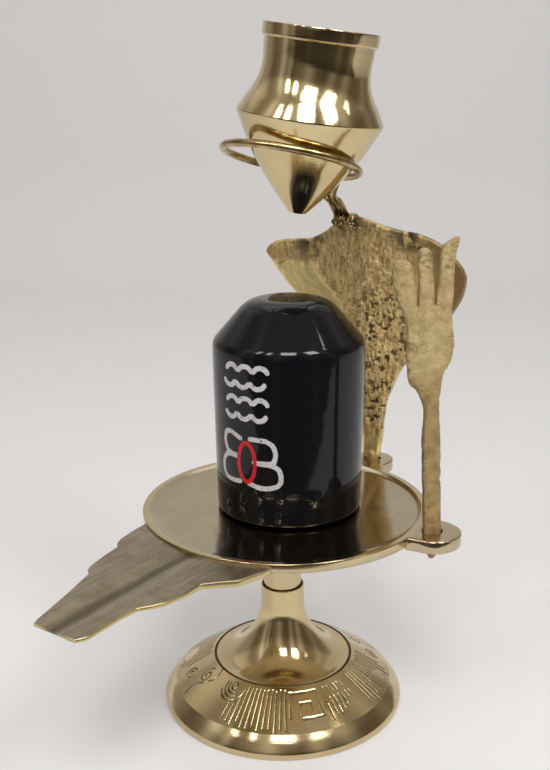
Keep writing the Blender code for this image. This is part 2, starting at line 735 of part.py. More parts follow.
def trident_outline():
    """Outline in shares of its width and height: up the left side, down the right."""
    return [
        (-0.18, 0.0), (-0.24, 0.20), (-0.27, 0.323), (-0.245, 0.394), (-0.264, 0.436), (-0.33, 0.467),
        (-0.415, 0.495), (-0.55, 0.521), (-0.61, 0.586), (-0.60, 0.634), (-0.64, 0.716), (-0.72, 0.762),
        (-0.82, 0.80), (-0.90, 0.863), (-0.92, 0.91), (-0.82, 0.926), (-0.71, 0.924), (-0.557, 0.917),
        (-0.52, 0.894), (-0.453, 0.83), (-0.434, 0.795), (-0.42, 0.84), (-0.445, 0.90), (-0.462, 0.948),
        (-0.39, 0.960), (-0.31, 0.962), (-0.19, 0.955), (-0.16, 0.894), (-0.113, 0.833), (-0.047, 0.878),
        (-0.038, 0.942), (-0.01, 0.977), (0.14, 0.985), (0.30, 1.0), (0.27, 0.957), (0.226, 0.909),
        (0.226, 0.817), (0.217, 0.744), (0.264, 0.68), (0.28, 0.652), (0.236, 0.602), (0.16, 0.573),
        (0.085, 0.535), (0.047, 0.48), (0.038, 0.445), (0.085, 0.335), (0.15, 0.15), (0.17, 0.0),
    ]


def build_trident(cast):
    outline = [(x * TRIDENT_WIDTH, y * TRIDENT_HEIGHT) for x, y in trident_outline()]
    fork = flat_plate("trident", outline, TRIDENT_THICKNESS, TRIDENT_THICKNESS / 2, parts)
    base = DISH_TOP + GAP
    for vertex in fork.data.vertices:
        vertex.co = Vector((vertex.co.x, -vertex.co.z, vertex.co.y))
    fork.data.flip_normals()
    fork.location = (TRIDENT_EAR.x, TRIDENT_EAR.y, base)
    body = bmesh.new()
    body.from_mesh(fork.data)
    bmesh.ops.recalc_face_normals(body, faces=body.faces)
    body.to_mesh(fork.data)
    body.free()
    edge = fork.modifiers.new("Bevel", "BEVEL")
    edge.width = TRIDENT_EDGE
    edge.segments = 1
    edge.limit_method = "ANGLE"
    edge.angle_limit = math.radians(50)
    tang = build_tang("trident_tang", TRIDENT_EAR, TANG_RADIUS * 0.4)
    combine(fork, tang, "UNION")
    finish(fork, cast, parts)


def centre_on_origin():
    """Moves everything sideways, so that the origin is under the middle of the whole."""
    bpy.context.view_layer.update()
    graph = bpy.context.evaluated_depsgraph_get()
    places = []
    for item in parts.objects:
        shown = item.evaluated_get(graph)
        places += [shown.matrix_world @ vertex.co for vertex in shown.data.vertices]
    low_x, high_x = min(p.x for p in places), max(p.x for p in places)
    low_y, high_y = min(p.y for p in places), max(p.y for p in places)
    for item in [*parts.objects, *cutters.objects]:
        item.location.x -= (low_x + high_x) / 2
        item.location.y -= (low_y + high_y) / 2


def main():
    global parts, cutters
    clear_scene()
    parts = new_collection(PART_NAME)
    cutters = new_collection("cutters")
    brass = new_material("turned_brass", (0.62, 0.49, 0.27), 0.22, 1.0)
    dish_brass = new_material("brushed_brass", (0.55, 0.47, 0.33), 0.34, 1.0)
    cast = new_material("cast_brass", (0.48, 0.34, 0.13), 0.48, 1.0)
    stone = new_material("black_stone", (0.010, 0.010, 0.012), 0.10, 0.0)
    build_foot(brass)
    build_dish(dish_brass)
    build_lingam(stone)
    build_hood(cast)
    build_trident(cast)
    build_pot(brass)
    build_wire_loop(brass)
    centre_on_origin()


main()
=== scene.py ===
# Looks of a brass shiva lingam stand: a turned foot, a spouted dish, the black stone,
# a cast hood and trident, and a drip pot in a wire loop.
# Sizes are in millimetres from the foot's axis; addPiece() turns them into metres.
import math

import bmesh
import bpy
import numpy as np
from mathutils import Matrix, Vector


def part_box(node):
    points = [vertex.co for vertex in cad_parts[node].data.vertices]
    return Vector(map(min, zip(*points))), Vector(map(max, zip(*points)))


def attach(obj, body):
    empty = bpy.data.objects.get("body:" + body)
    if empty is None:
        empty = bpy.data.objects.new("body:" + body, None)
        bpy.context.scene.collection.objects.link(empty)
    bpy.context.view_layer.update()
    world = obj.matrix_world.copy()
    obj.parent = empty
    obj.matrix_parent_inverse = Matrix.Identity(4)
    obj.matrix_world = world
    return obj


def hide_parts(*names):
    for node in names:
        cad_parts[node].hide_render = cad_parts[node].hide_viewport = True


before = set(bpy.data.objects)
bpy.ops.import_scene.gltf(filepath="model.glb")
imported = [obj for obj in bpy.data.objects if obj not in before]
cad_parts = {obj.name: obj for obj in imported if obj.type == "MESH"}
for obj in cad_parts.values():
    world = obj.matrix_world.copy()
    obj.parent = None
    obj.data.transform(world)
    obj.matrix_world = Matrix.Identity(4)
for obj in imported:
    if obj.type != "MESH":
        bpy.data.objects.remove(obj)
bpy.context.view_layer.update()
footLow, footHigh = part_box("turned_foot")
footAxis = np.array([(footLow.x + footHigh.x) / 2, (footLow.y + footHigh.y) / 2, 0.0]) * 1000
mm = 0.001
tau = math.tau


# Numbers over whole arrays

def smoothStep(value):  # 0 below 0, 1 above 1, 3v^2 - 2v^3 between
    value = np.clip(value, 0.0, 1.0)
    return value * value * (3 - 2 * value)


def blendTo(a, b, share):  # a at share 0, b at share 1
    return a * (1 - share) + b * share


def valueNoise(points, cell, seed=0.0):
    # Random values at the corners of cubes of side cell, blended by the smooth step
    # of the place inside the cube; gives 0 to 1
    place = points / cell + seed * 7.31
    base = np.floor(place)
    share = smoothStep(place - base)
    total = 0.0
    for dx in (0, 1):
        for dy in (0, 1):
            for dz in (0, 1):
                corner = base + (dx, dy, dz)
                wave = np.sin(corner @ np.array([127.1, 311.7, 74.7]) + seed * 3.7) * 43758.5453
                weight = 1.0
                for axis, side in enumerate((dx, dy, dz)):
                    weight = weight * (share[..., axis] if side else 1 - share[..., axis])
                total = total + weight * (wave - np.floor(wave))
    return total


def roughNoise(points, cell, octaves=4, seed=0.0):
    # Sum of value noises, each of half the size and half the strength; -1 to 1
    total, strength, reach = 0.0, 1.0, 0.0
    for octave in range(octaves):
        total = total + strength * (valueNoise(points, cell / 2**octave, seed + octave) * 2 - 1)
        reach += strength
        strength *= 0.5
    return total / reach


def throughPoints(points, share):
    # Smooth curve through all points, for shares 0 to 1 of their count: cubic pieces
    # whose slopes are half the step from the point before to the point after
    points = np.asarray(points, float)
    last = len(points) - 1
    place = np.clip(share, 0, 1) * last
    index = np.minimum(place.astype(int), last - 1)
    t = (place - index)[..., None]
    before, a, b, after = (points[np.clip(index + k, 0, last)] for k in (-1, 0, 1, 2))
    return (a * (2 * t**3 - 3 * t**2 + 1) + (b - a + a - before) / 2 * (t**3 - 2 * t**2 + t)
            + b * (3 * t**2 - 2 * t**3) + (after - a) / 2 * (t**3 - t**2)
            + (b - a) / 2 * (t**3 - 2 * t**2 + t))


def roundedCorners(corners, steps=5):
    # Corners are (across, up, radius); each becomes a quadratic curve whose ends lie
    # radius away along its two sides, at most 0.45 of a side
    places = np.array([corner[:2] for corner in corners], float)
    result = [places[0]]
    for before, here, after, (_, _, radius) in zip(places, places[1:], places[2:], corners[1:]):
        if radius <= 0:
            result.append(here)
            continue
        toBefore, toAfter = before - here, after - here
        start = here + toBefore * min(0.45, radius / max(np.linalg.norm(toBefore), 1e-6))
        end = here + toAfter * min(0.45, radius / max(np.linalg.norm(toAfter), 1e-6))
        t = np.linspace(0, 1, steps + 1)[:, None]
        result += list(start * (1 - t)**2 + here * 2 * t * (1 - t) + end * t**2)
    result.append(places[-1])
    return np.array(result)


def splitLong(path, longest):
    # Adds even steps inside every side that is longer than longest
    parts = []
    for start, end in zip(path, path[1:]):
        count = max(1, int(math.ceil(np.linalg.norm(end - start) / longest)))
        parts.append(start + (end - start) * np.arange(count)[:, None] / count)
    return np.vstack([*parts, path[-1:]])


def pathLength(path):  # distance run so far at each point
    return np.concatenate([[0], np.cumsum(np.linalg.norm(np.diff(path, axis=0), axis=1))])


# Pieces from grids

def evenTurn(count):  # angles once round, the last one short of the first
    return np.arange(count) / count * tau


def turnedGrid(path, angle):
    # A profile of (radius, height) carried round Z: x = r cos a, y = r sin a, z = h
    radius, height = path[:, 0:1], path[:, 1:2]
    return np.stack([radius * np.cos(angle), radius * np.sin(angle), height + 0 * angle], axis=-1)


def tubeGrid(path, radius, sides):
    # Rings across a path: path + radius (side cos a + over sin a), where side is level
    # and at right angles to the path
    run = np.gradient(path, axis=0)
    run /= np.linalg.norm(run, axis=1)[:, None]
    side = np.cross(run, (0, 0, 1))
    side /= np.linalg.norm(side, axis=1)[:, None]
    over = np.cross(side, run)
    angle = evenTurn(sides)[None, :, None]
    return path[:, None] + radius * (side[:, None] * np.cos(angle) + over[:, None] * np.sin(angle))


def shell(grid, loop=False, **values):
    # Closed surface from a grid of rows of points that close on themselves: quads
    # between neighbours, and a fan to the middle of each end row, or the last row
    # joined to the first where loop is true. values are numbers per grid point.
    rows, columns = grid.shape[:2]
    index = np.arange(rows * columns).reshape(rows, columns)
    full = np.vstack([index, index[:1]]) if loop else index
    full = np.hstack([full, full[:, :1]])
    quads = np.stack([full[:-1, :-1], full[:-1, 1:], full[1:, 1:], full[1:, :-1]], axis=-1)
    points = grid.reshape(-1, 3)
    numbers = {name: np.broadcast_to(value, (rows, columns)).reshape(-1) for name, value in values.items()}
    fans = np.zeros((0, 3), int)
    if not loop:
        ends = np.stack([grid[0].mean(0), grid[-1].mean(0)])
        first, last = len(points), len(points) + 1
        start = np.stack([full[0, 1:], full[0, :-1], np.full(columns, first)], axis=-1)
        end = np.stack([full[-1, :-1], full[-1, 1:], np.full(columns, last)], axis=-1)
        fans = np.vstack([start, end])
        points = np.vstack([points, ends])
        for name, value in numbers.items():
            numbers[name] = np.concatenate([value, [value[:columns].mean(), value[-columns:].mean()]])
    return {"points": points, "quads": quads.reshape(-1, 4), "fans": fans, "values": numbers}


def outwardFaces(part):
    # Turns every face round if the shell's volume comes out negative
    points, quads, fans = part["points"], part["quads"], part["fans"]
    triangles = np.vstack([quads[:, [0, 1, 2]], quads[:, [0, 2, 3]], fans])
    a, b, c = (points[triangles[:, k]] for k in range(3))
    if np.einsum("ij,ij->", a, np.cross(b, c)) < 0:
        return quads[:, ::-1], fans[:, ::-1]
    return quads, fans


def addPiece(name, parts, node, finish, weld=0.0, sharp=None):
    # One mesh object from closed shells, in metres in the frame's own place
    points, quads, fans, start = [], [], [], 0
    for part in parts:
        partQuads, partFans = outwardFaces(part)
        points.append(part["points"])
        quads.append(partQuads + start)
        fans.append(partFans + start)
        start += len(part["points"])
    quads, fans = np.vstack(quads), np.vstack(fans)
    corners = np.concatenate([quads.reshape(-1), fans.reshape(-1)]).astype(np.int32)
    firsts = np.concatenate([np.arange(len(quads)) * 4, len(quads) * 4 + np.arange(len(fans)) * 3])
    mesh = bpy.data.meshes.new(name)
    mesh.vertices.add(start)
    mesh.vertices.foreach_set("co", ((np.vstack(points) + footAxis) * mm).astype(np.float32).reshape(-1))
    mesh.loops.add(len(corners))
    mesh.loops.foreach_set("vertex_index", corners)
    mesh.polygons.add(len(firsts))
    mesh.polygons.foreach_set("loop_start", firsts.astype(np.int32))
    mesh.update(calc_edges=True)
    for key in parts[0]["values"]:
        attribute = mesh.attributes.new(key, "FLOAT", "POINT")
        numbers = np.concatenate([part["values"][key] for part in parts])
        attribute.data.foreach_set("value", numbers.astype(np.float32))
    if weld > 0:
        body = bmesh.new()
        body.from_mesh(mesh)
        bmesh.ops.remove_doubles(body, verts=body.verts, dist=weld * mm)
        bmesh.ops.dissolve_degenerate(body, edges=body.edges, dist=weld * mm * 0.1)
        body.to_mesh(mesh)
        body.free()
    mesh.validate()
    mesh.shade_smooth()
    if sharp:
        mesh.set_sharp_from_angle(angle=math.radians(sharp))
    mesh.materials.append(finish)
    piece = bpy.data.objects.new(name, mesh)
    bpy.context.scene.collection.objects.link(piece)
    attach(piece, "root")
    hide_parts(node)
    print(f"{name}: {len(mesh.vertices)} points, {len(mesh.polygons)} faces")


# Shader maths

class Field:
    # A socket that adds, multiplies and so on by adding Math nodes
    def __init__(self, surface, socket):
        self.surface, self.socket = surface, socket

    def math(self, operation, *others):
        return self.surface.add("Math", {"operation": operation}, dict(enumerate((self, *others))))

    def __add__(self, other):
        return self.math("ADD", other)

    def __sub__(self, other):
        return self.math("SUBTRACT", other)

    def __rsub__(self, other):
        return self * -1 + other

    def __mul__(self, other):
        return self.math("MULTIPLY", other)

    def __truediv__(self, other):
        return self.math("DIVIDE", other)

    __radd__ = __add__
    __rmul__ = __mul__

    def step(self, low, high):  # 0 at low, 1 at high, smooth between; low may be the larger
        settings = {"interpolation_type": "SMOOTHSTEP", "clamp": True}
        sockets = {"Value": self, "From Min": low, "From Max": high}
        return self.surface.add("MapRange", settings, sockets, "Result")


class Surface:
    def __init__(self, name, owner=None):
        self.owner = owner or bpy.data.materials.new(name)
        self.owner.use_nodes = True
        self.tree = self.owner.node_tree
        self.shader = self.tree.nodes.get("Principled BSDF")

    def add(self, kind, settings, sockets, output=0):
        node = self.tree.nodes.new("ShaderNode" + kind)
        for key, value in settings.items():
            if key == "stops":
                while len(node.color_ramp.elements) < len(value):
                    node.color_ramp.elements.new(0.5)
                for element, (position, colour) in zip(node.color_ramp.elements, value):
                    element.position, element.color = position, (*colour, 1)
            else:
                setattr(node, key, value)
        for key, value in sockets.items():
            if isinstance(value, Field):
                self.tree.links.new(value.socket, node.inputs[key])
            else:
                node.inputs[key].default_value = value
        return Field(self, node.outputs[output])

    def number(self, name):  # a number kept on the piece's points
        return self.add("Attribute", {"attribute_name": name}, {}, "Fac")

    def place(self, scale=(1, 1, 1)):  # Object coordinates in millimetres, times scale
        where = self.add("TexCoord", {}, {}, "Object")
        size = tuple(1000 * s for s in scale)
        return self.add("Mapping", {}, {"Vector": where, "Scale": size})

    def noise(self, size, detail=3.0, roughness=0.55, where=None):  # size in the units of where
        where = where or self.place()
        sockets = {"Vector": where, "Scale": 1 / size, "Detail": detail, "Roughness": roughness}
        return self.add("TexNoise", {}, sockets, "Fac")

    def lineNoise(self, along, size, detail=2.0):  # noise that changes with one number only
        sockets = {"W": along, "Scale": 1 / size, "Detail": detail}
        return self.add("TexNoise", {"noise_dimensions": "1D"}, sockets, "Fac")

    def mix(self, share, a, b):  # colour a at 0, colour b at 1
        a, b = (colour if isinstance(colour, Field) else (*colour, 1) for colour in (a, b))
        return self.add("Mix", {"data_type": "RGBA"}, {"Factor": share, 6: a, 7: b}, 2)

    def finish(self, colour, roughness, metallic=1.0, height=None, depth=0.05, **constants):
        # height is in shares of depth, and depth in millimetres
        inputs = {"Base Color": colour, "Roughness": roughness, "Metallic": metallic}
        if height is not None:
            sockets = {"Height": height, "Distance": depth * mm, "Strength": 1.0}
            inputs["Normal"] = self.add("Bump", {}, sockets)
        for key, value in inputs.items():
            if isinstance(value, Field):
                self.tree.links.new(value.socket, self.shader.inputs[key])
            elif isinstance(value, tuple):
                self.shader.inputs[key].default_value = (*value, 1)
            else:
                self.shader.inputs[key].default_value = value
        for key, value in constants.items():
            self.shader.inputs[key.replace("_", " ")].default_value = value
        return self.owner


# Finishes

tones = {
    "polished": (0.68, 0.545, 0.31), "stained": (0.46, 0.345, 0.17), "dish": (0.47, 0.395, 0.27),
    "burnt": (0.075, 0.052, 0.028),
    "brushedLow": (0.25, 0.20, 0.125), "brushedHigh": (0.43, 0.365, 0.25),
    "brushedLit": (0.54, 0.46, 0.32), "valleyShade": (0.12, 0.087, 0.042), "filed": (0.66, 0.55, 0.27),
    "castLow": (0.62, 0.41, 0.155), "castHigh": (0.97, 0.75, 0.36), "castGlint": (0.95, 0.80, 0.48),
    "castStreak": (0.20, 0.12, 0.042), "castBrownAndShade": (0.25, 0.135, 0.055),
    "castLitFlank": (0.86, 0.70, 0.32), "castDirt": (0.055, 0.034, 0.015),
    "castSoot": (0.030, 0.025, 0.020),
    "bladeLow": (0.50, 0.365, 0.16), "bladeHigh": (0.71, 0.56, 0.29), "stemLow": (0.36, 0.24, 0.10),
    "stemHigh": (0.55, 0.40, 0.18), "bladeDentsAndSides": (0.30, 0.19, 0.075),
    "bladeGlint": (0.98, 0.87, 0.58),
    "wireLow": (0.36, 0.26, 0.12), "wireHigh": (0.58, 0.45, 0.23), "wireSoot": (0.07, 0.045, 0.02),
    "stone": (0.0042, 0.0045, 0.0065), "stoneDust": (0.10, 0.10, 0.11),
    "paintWhite": (0.56, 0.55, 0.56), "paintRed": (0.52, 0.012, 0.025),
}


def turnedBrass(name, wear=0.5):
    # Fine lathe rings along the profile, clouds of handling marks, darker grooves
    s = Surface(name)
    along, groove = s.number("along"), s.number("groove")
    rings = s.lineNoise(along, 0.22, 3)
    slow = s.lineNoise(along, 2.4, 1)
    cloud = s.noise(9.0, 4)
    specks = s.noise(0.45, 2).step(0.66, 0.80)
    colour = s.mix(cloud.step(0.35, 0.75) * wear, tones["polished"], tones["stained"])
    colour = s.mix(specks * 0.35, colour, tones["burnt"])
    colour = s.mix(groove.step(0.10, 0.70) * 0.9, colour, tones["burnt"])
    roughness = 0.075 + rings * 0.06 + cloud.step(0.4, 0.8) * 0.07 + groove * 0.35
    return s.finish(colour, roughness, height=rings * 0.6 + slow * 0.4, depth=0.012)


def dishBrass(name):
    # Wider lathe lines round the dish, brushed dull, with pale rub marks
    s = Surface(name)
    along, polish = s.number("along"), s.number("polish")
    rings = s.lineNoise(along, 0.30, 4)
    cloud = s.noise(7.0, 4)
    rubbed = s.noise(2.2, 3, where=s.place((1, 0.25, 1))).step(0.5, 0.8)
    colour = s.mix(cloud.step(0.35, 0.75) * 0.35, tones["dish"], tones["polished"])
    colour = s.mix(rubbed * 0.25, colour, tones["stained"])
    colour = s.mix(s.noise(0.6, 2).step(0.70, 0.80) * 0.5, colour, tones["burnt"])
    colour = s.mix(polish * 0.6, colour, tones["polished"])
    roughness = 0.07 + rings * 0.06 + cloud * 0.04 + rubbed * 0.10
    return s.finish(colour, roughness, height=rings, depth=0.010)


def brushedBrass(name):
    # Straight brushing along the spout: noise stretched along it; filed edges stay bright.
    # Painted shade darkens the channel's middle and a painted highlight lightens one side
    s = Surface(name)
    across, along, edge = s.number("across"), s.number("along"), s.number("edge")
    where = s.add("CombineXYZ", {}, {"X": across, "Y": along * 0.07, "Z": 0.0})
    strokes = s.noise(0.11, 4, 0.6, where)
    broad = s.noise(0.9, 3, where=where)
    filed = s.lineNoise(along, 0.5, 3)
    cloud = s.noise(5.0, 4)
    # Painted shade down the middle of the channel, and a painted highlight on one side of it
    valleyShade = (across.math("ABSOLUTE") + (broad - 0.5) * 1.2).step(2.4, 0.2)
    lit = (across + broad * 0.6).step(0.9, 1.6) * across.step(3.4, 2.0)
    tone = strokes * 0.35 + broad * 0.3 + cloud * 0.35
    colour = s.mix(tone.step(0.36, 0.64), tones["brushedLow"], tones["brushedHigh"])
    colour = s.mix(lit * 0.25, colour, tones["brushedLit"])
    colour = s.mix(valleyShade * 0.80, colour, tones["valleyShade"])
    colour = s.mix(edge, colour, tones["filed"])
    roughness = 0.30 + strokes * 0.12
    height = strokes * (1 - edge) + filed * edge
    return s.finish(colour, roughness, height=height, depth=0.022)


def castBrass(name):
    # Raw casting: painted glints on gold high spots with upright streaks, dark dirt in the pitted
    # middle, a pale painted highlight on the flank that faces the light, brown lobes of which the
    # right one is painted shade, and burnt patches, all kept as numbers per point
    s = Surface(name)
    keys = ("rough", "pit", "burnt", "bare", "brown")
    rough, pit, burnt, bare, brown = (s.number(key) for key in keys)
    grain = s.noise(0.30, 4, 0.7)
    blotch = s.noise(3.4, 4, 0.6)
    streak = s.noise(0.75, 3, 0.6, s.place((1, 1, 0.16)))
    crumbs = s.noise(0.55, 3, 0.6, s.place((1, 1, 0.7)))
    tone = blotch * 0.5 + streak * 0.5
    colour = s.mix(tone.step(0.34, 0.66), tones["castLow"], tones["castHigh"])
    # Painted glints: light specks on the grain where the casting is rough
    glint = (grain * 0.6 + crumbs * 0.4).step(0.50, 0.64)
    colour = s.mix(rough * glint * 0.6, colour, tones["castGlint"])
    colour = s.mix(streak.step(0.56, 0.36) * rough * 0.42, colour, tones["castStreak"])
    # Brown: the left lobe's own tone, and painted shade on the right lobe
    colour = s.mix(brown * 0.88, colour, tones["castBrownAndShade"])
    # Painted highlight: the flank facing the light is made pale
    colour = s.mix(bare * 0.9, colour, tones["castLitFlank"])
    dirt = (pit * 0.9 + rough * crumbs.step(0.44, 0.35) * 0.7).math("MINIMUM", 1.0)
    colour = s.mix(dirt * 0.88, colour, tones["castDirt"])
    colour = s.mix(burnt * blotch.step(0.25, 0.55), colour, tones["castSoot"])
    roughness = 0.30 + grain * 0.20 + dirt * 0.25 + burnt * 0.15 - bare * 0.04
    height = grain * (0.25 + rough * 0.45) + crumbs * rough * 0.4
    return s.finish(colour, roughness, metallic=0.55 - dirt * 0.3, height=height, depth=0.26)


def matBrass(name):
    # Sand-cast light brass: fine grain with painted glints on its high spots and dark pores; the
    # stem is browner than the blade
    s = Surface(name)
    stem, skin = s.number("stem"), s.number("skin")
    grain = s.noise(0.26, 4, 0.7)
    blotch = s.noise(2.2, 4)
    pores = s.noise(0.8, 3, where=s.place((1, 1, 0.6))).step(0.62, 0.76)
    light = s.mix(blotch.step(0.3, 0.7), tones["bladeLow"], tones["bladeHigh"])
    brown = s.mix(blotch.step(0.3, 0.7), tones["stemLow"], tones["stemHigh"])
    colour = s.mix(stem, light, brown)
    # Darker in the dents and towards the narrow sides of each limb
    colour = s.mix(skin.step(0.15, 0.75) * 0.65, colour, tones["bladeDentsAndSides"])
    # Painted glints on the high grain
    colour = s.mix(grain.step(0.56, 0.66) * 0.5, colour, tones["bladeGlint"])
    colour = s.mix(pores * 0.6, colour, tones["burnt"])
    roughness = 0.30 + grain * 0.20
    return s.finish(colour, roughness, metallic=0.65, height=grain, depth=0.34)


def wireBrass(name):
    # Drawn wire gone brown: long faint draw lines along it
    s = Surface(name)
    along = s.number("along")
    cloud = s.noise(2.5, 3)
    lines = s.noise(0.25, 3)
    colour = s.mix(cloud.step(0.3, 0.7), tones["wireLow"], tones["wireHigh"])
    colour = s.mix(s.lineNoise(along, 3.0, 2).step(0.5, 0.75) * 0.35, colour, tones["burnt"])
    colour = s.mix(s.number("soot") * cloud.step(0.30, 0.55), colour, tones["wireSoot"])
    return s.finish(colour, 0.16 + lines * 0.14, height=lines, depth=0.012)


def paintedStone(name):
    # Black gloss over a slightly wavy stone; paint lies where the distance to a brush
    # stroke is under its half width, with a ragged edge from noise
    s = Surface(name)
    white, red = s.number("white"), s.number("red")
    ragged = (s.noise(0.8, 3) - 0.5) * 0.30
    whitePaint = (white + ragged).step(0.06, -0.06)
    redPaint = (red + ragged).step(0.06, -0.06)
    thin = s.noise(0.5, 3)
    dust = s.noise(0.28, 2).step(0.74, 0.80)
    colour = s.mix(dust * 0.25, tones["stone"], tones["stoneDust"])
    colour = s.mix(whitePaint * thin.step(0.22, 0.48), colour, tones["paintWhite"])
    colour = s.mix(redPaint, colour, tones["paintRed"])
    roughness = 0.06 + s.noise(5.0, 3) * 0.05 + whitePaint * 0.25 + redPaint * 0.2
    wave = s.noise(6.0, 2)
    return s.finish(colour, roughness, metallic=0.0, height=wave, depth=0.035, Specular_IOR_Level=0.32)


# Turned foot

foot = {
    "height": 27.9, "radius": 27.6, "lip": 1.6, "wall": 1.7, "ring": 2.6, "edge": 0.3,
    "bandOuter": (25.0, 4.7), "bandInner": (15.6, 10.5), "groove": 0.2, "crown": 0.12,
    "collarRadius": 4.9, "collarLength": 4.7, "socketDepth": 1.5, "socketRadius": 4.6,
    "cavity": (4.5, 13.0), "fullness": 0.9, "columns": 360,
    "bandColumns": 1150, "bandRows": 74, "bandSeat": 0.35,
    "cutDepth": 0.15, "cutPitch": 1.1, "cutHalf": 0.09, "zigzag": 0.11, "zigzagStep": 0.5,
    # Fields of cuts: from and to in degrees of a half turn, and from and to in radius
    "cutFields": [(55, 93, 16.7, 24.4), (116, 133, 20.4, 23.2), (144, 179, 16.8, 24.3), (0, 4, 16.8, 22.5)],
    # Ovals left uncut in them: degrees, radius, half length and half width
    "ovals": [(133.7, 23.5, 3.0, 1.1), (166.0, 22.6, 2.4, 1.3)],
    # A dot with three rings, open on one side: place, and radius and start and end of each
    "dot": (18.4, -2.6), "dotClear": 3.3, "dotRings": [(1.6, 20, 200), (2.4, 10, 190), (3.2, 0, 150)],
    "key": [(32.9, 2.0), (32.9, -2.8), (39.8, -2.8), (39.8, 2.3), (35.2, 2.3), (35.2, -0.7), (37.7, -0.7),
            (37.7, 0.8)],
    "tickFrom": 42.0, "tickPitch": 1.1, "tickCount": 6,
}


def bandTop(t):  # the engraved ring's upper side, from inside at 0 to outside at 1
    p = foot
    innerR, innerZ = p["bandInner"]
    outerR, outerZ = p["bandOuter"]
    return np.stack([blendTo(innerR + 2 * p["groove"], outerR, t),
                     blendTo(innerZ, outerZ, t) + p["crown"] * np.sin(np.pi * t)], axis=-1)


def footPath():
    # Outer side: collar, a flare r = c + w (1 - cos a)^f, z = l + h (1 - sin a)^f, the
    # seat of the engraved ring and the rim; then back up the hollow inside
    p = foot
    collarLow = p["height"] - p["collarLength"]
    innerR, innerZ = p["bandInner"]
    outerR, outerZ = p["bandOuter"]
    a = np.linspace(0, 1, 40) * tau / 4
    flare = np.stack([
        p["collarRadius"] + (innerR - p["collarRadius"]) * (1 - np.cos(a))**p["fullness"],
        innerZ + (collarLow - innerZ) * (1 - np.sin(a))**p["fullness"],
    ], axis=-1)
    top = roundedCorners([
        (0.05, p["height"] - p["socketDepth"], 0), (p["socketRadius"], p["height"] - p["socketDepth"], 0.1),
        (p["socketRadius"], p["height"] - 0.15, 0.1), (p["socketRadius"] + 0.15, p["height"], 0.08),
        (p["collarRadius"], p["height"] - 0.15, 0.12), (p["collarRadius"], collarLow, 0),
    ])
    groove, seat = p["groove"], p["bandSeat"]
    cut = np.array([(innerR + groove * share, innerZ - groove * 0.9) for share in (0.6, 1.8)])
    under = bandTop(np.linspace(0.03, 0.985, 16)) - (0, seat)
    rim = roundedCorners([
        (outerR, outerZ, 0),
        ((outerR + p["radius"]) / 2, (outerZ + p["lip"]) / 2 + p["edge"] / 4, 1.2),
        (p["radius"] - p["edge"] / 2, p["lip"], 0.4), (p["radius"], p["lip"] / 2, 0.3),
        (p["radius"] - p["edge"], 0, 0.25), (p["radius"] - p["ring"], 0, 0.3),
        (outerR - p["wall"], outerZ - p["wall"], 0.5), (innerR, innerZ - p["wall"], 0.8),
        ((innerR + p["cavity"][0]) / 2, (innerZ - p["wall"] + p["cavity"][1]) / 2 - p["wall"] / 2, 1.0),
        (*p["cavity"], 0.5), (0.05, p["cavity"][1], 0),
    ])
    return np.vstack([splitLong(top, 0.8), flare[1:], cut, under, splitLong(rim, 0.9)])


def strokeDistance(x, y, line):
    # Distance from points to an open line of straight bits
    best = np.full(x.shape, 1e3)
    for (ax, ay), (bx, by) in zip(line, line[1:]):
        dx, dy = bx - ax, by - ay
        t = np.clip(((x - ax) * dx + (y - ay) * dy) / (dx * dx + dy * dy), 0, 1)
        best = np.minimum(best, np.hypot(x - ax - t * dx, y - ay - t * dy))
    return best


def arcLine(centre, radius, start, end, steps=14):  # points on an arc, degrees
    a = np.radians(np.linspace(start, end, steps))
    return [(centre[0] + radius * math.cos(v), centre[1] + radius * math.sin(v)) for v in a]


def ovalLine(centre, halfLength, halfWidth, steps=30):  # points once round an oval
    a = np.linspace(0, tau, steps)
    return [(centre[0] + halfLength * math.cos(v), centre[1] + halfWidth * math.sin(v)) for v in a]


def spiralLine(centre, start, end, growth, turn=1):  # radius = growth times the angle turned
    a = np.linspace(start, end, 30)
    reach = growth * a
    return list(zip(centre[0] + turn * reach * np.cos(a), centre[1] + reach * np.sin(a)))


def engravedLines():
    # Scrolls, a ringed dot, a stepped key and two rows of ticks. x runs 20 mm per radian
    # from the left side, y outwards
    p = foot
    dot = p["dot"]
    lines = [
        spiralLine((8.6, -1.0), 2.0, 11.0, 0.17), spiralLine((4.2, 1.6), 1.0, 13.5, 0.12, -1),
        arcLine((10.5, 3.0), 2.6, 150, 250), arcLine((9.5, -2.4), 2.2, 300, 420),
        ovalLine(dot, 0.75, 0.75), p["key"],
    ]
    lines += [arcLine(dot, *ring) for ring in p["dotRings"]]
    for step in range(p["tickCount"]):
        place = p["tickFrom"] + p["tickPitch"] * step
        lines += [[(place, -2.8), (place, -1.3)], [(place + 0.5, -0.5), (place + 0.5, 0.9)]]
    return lines


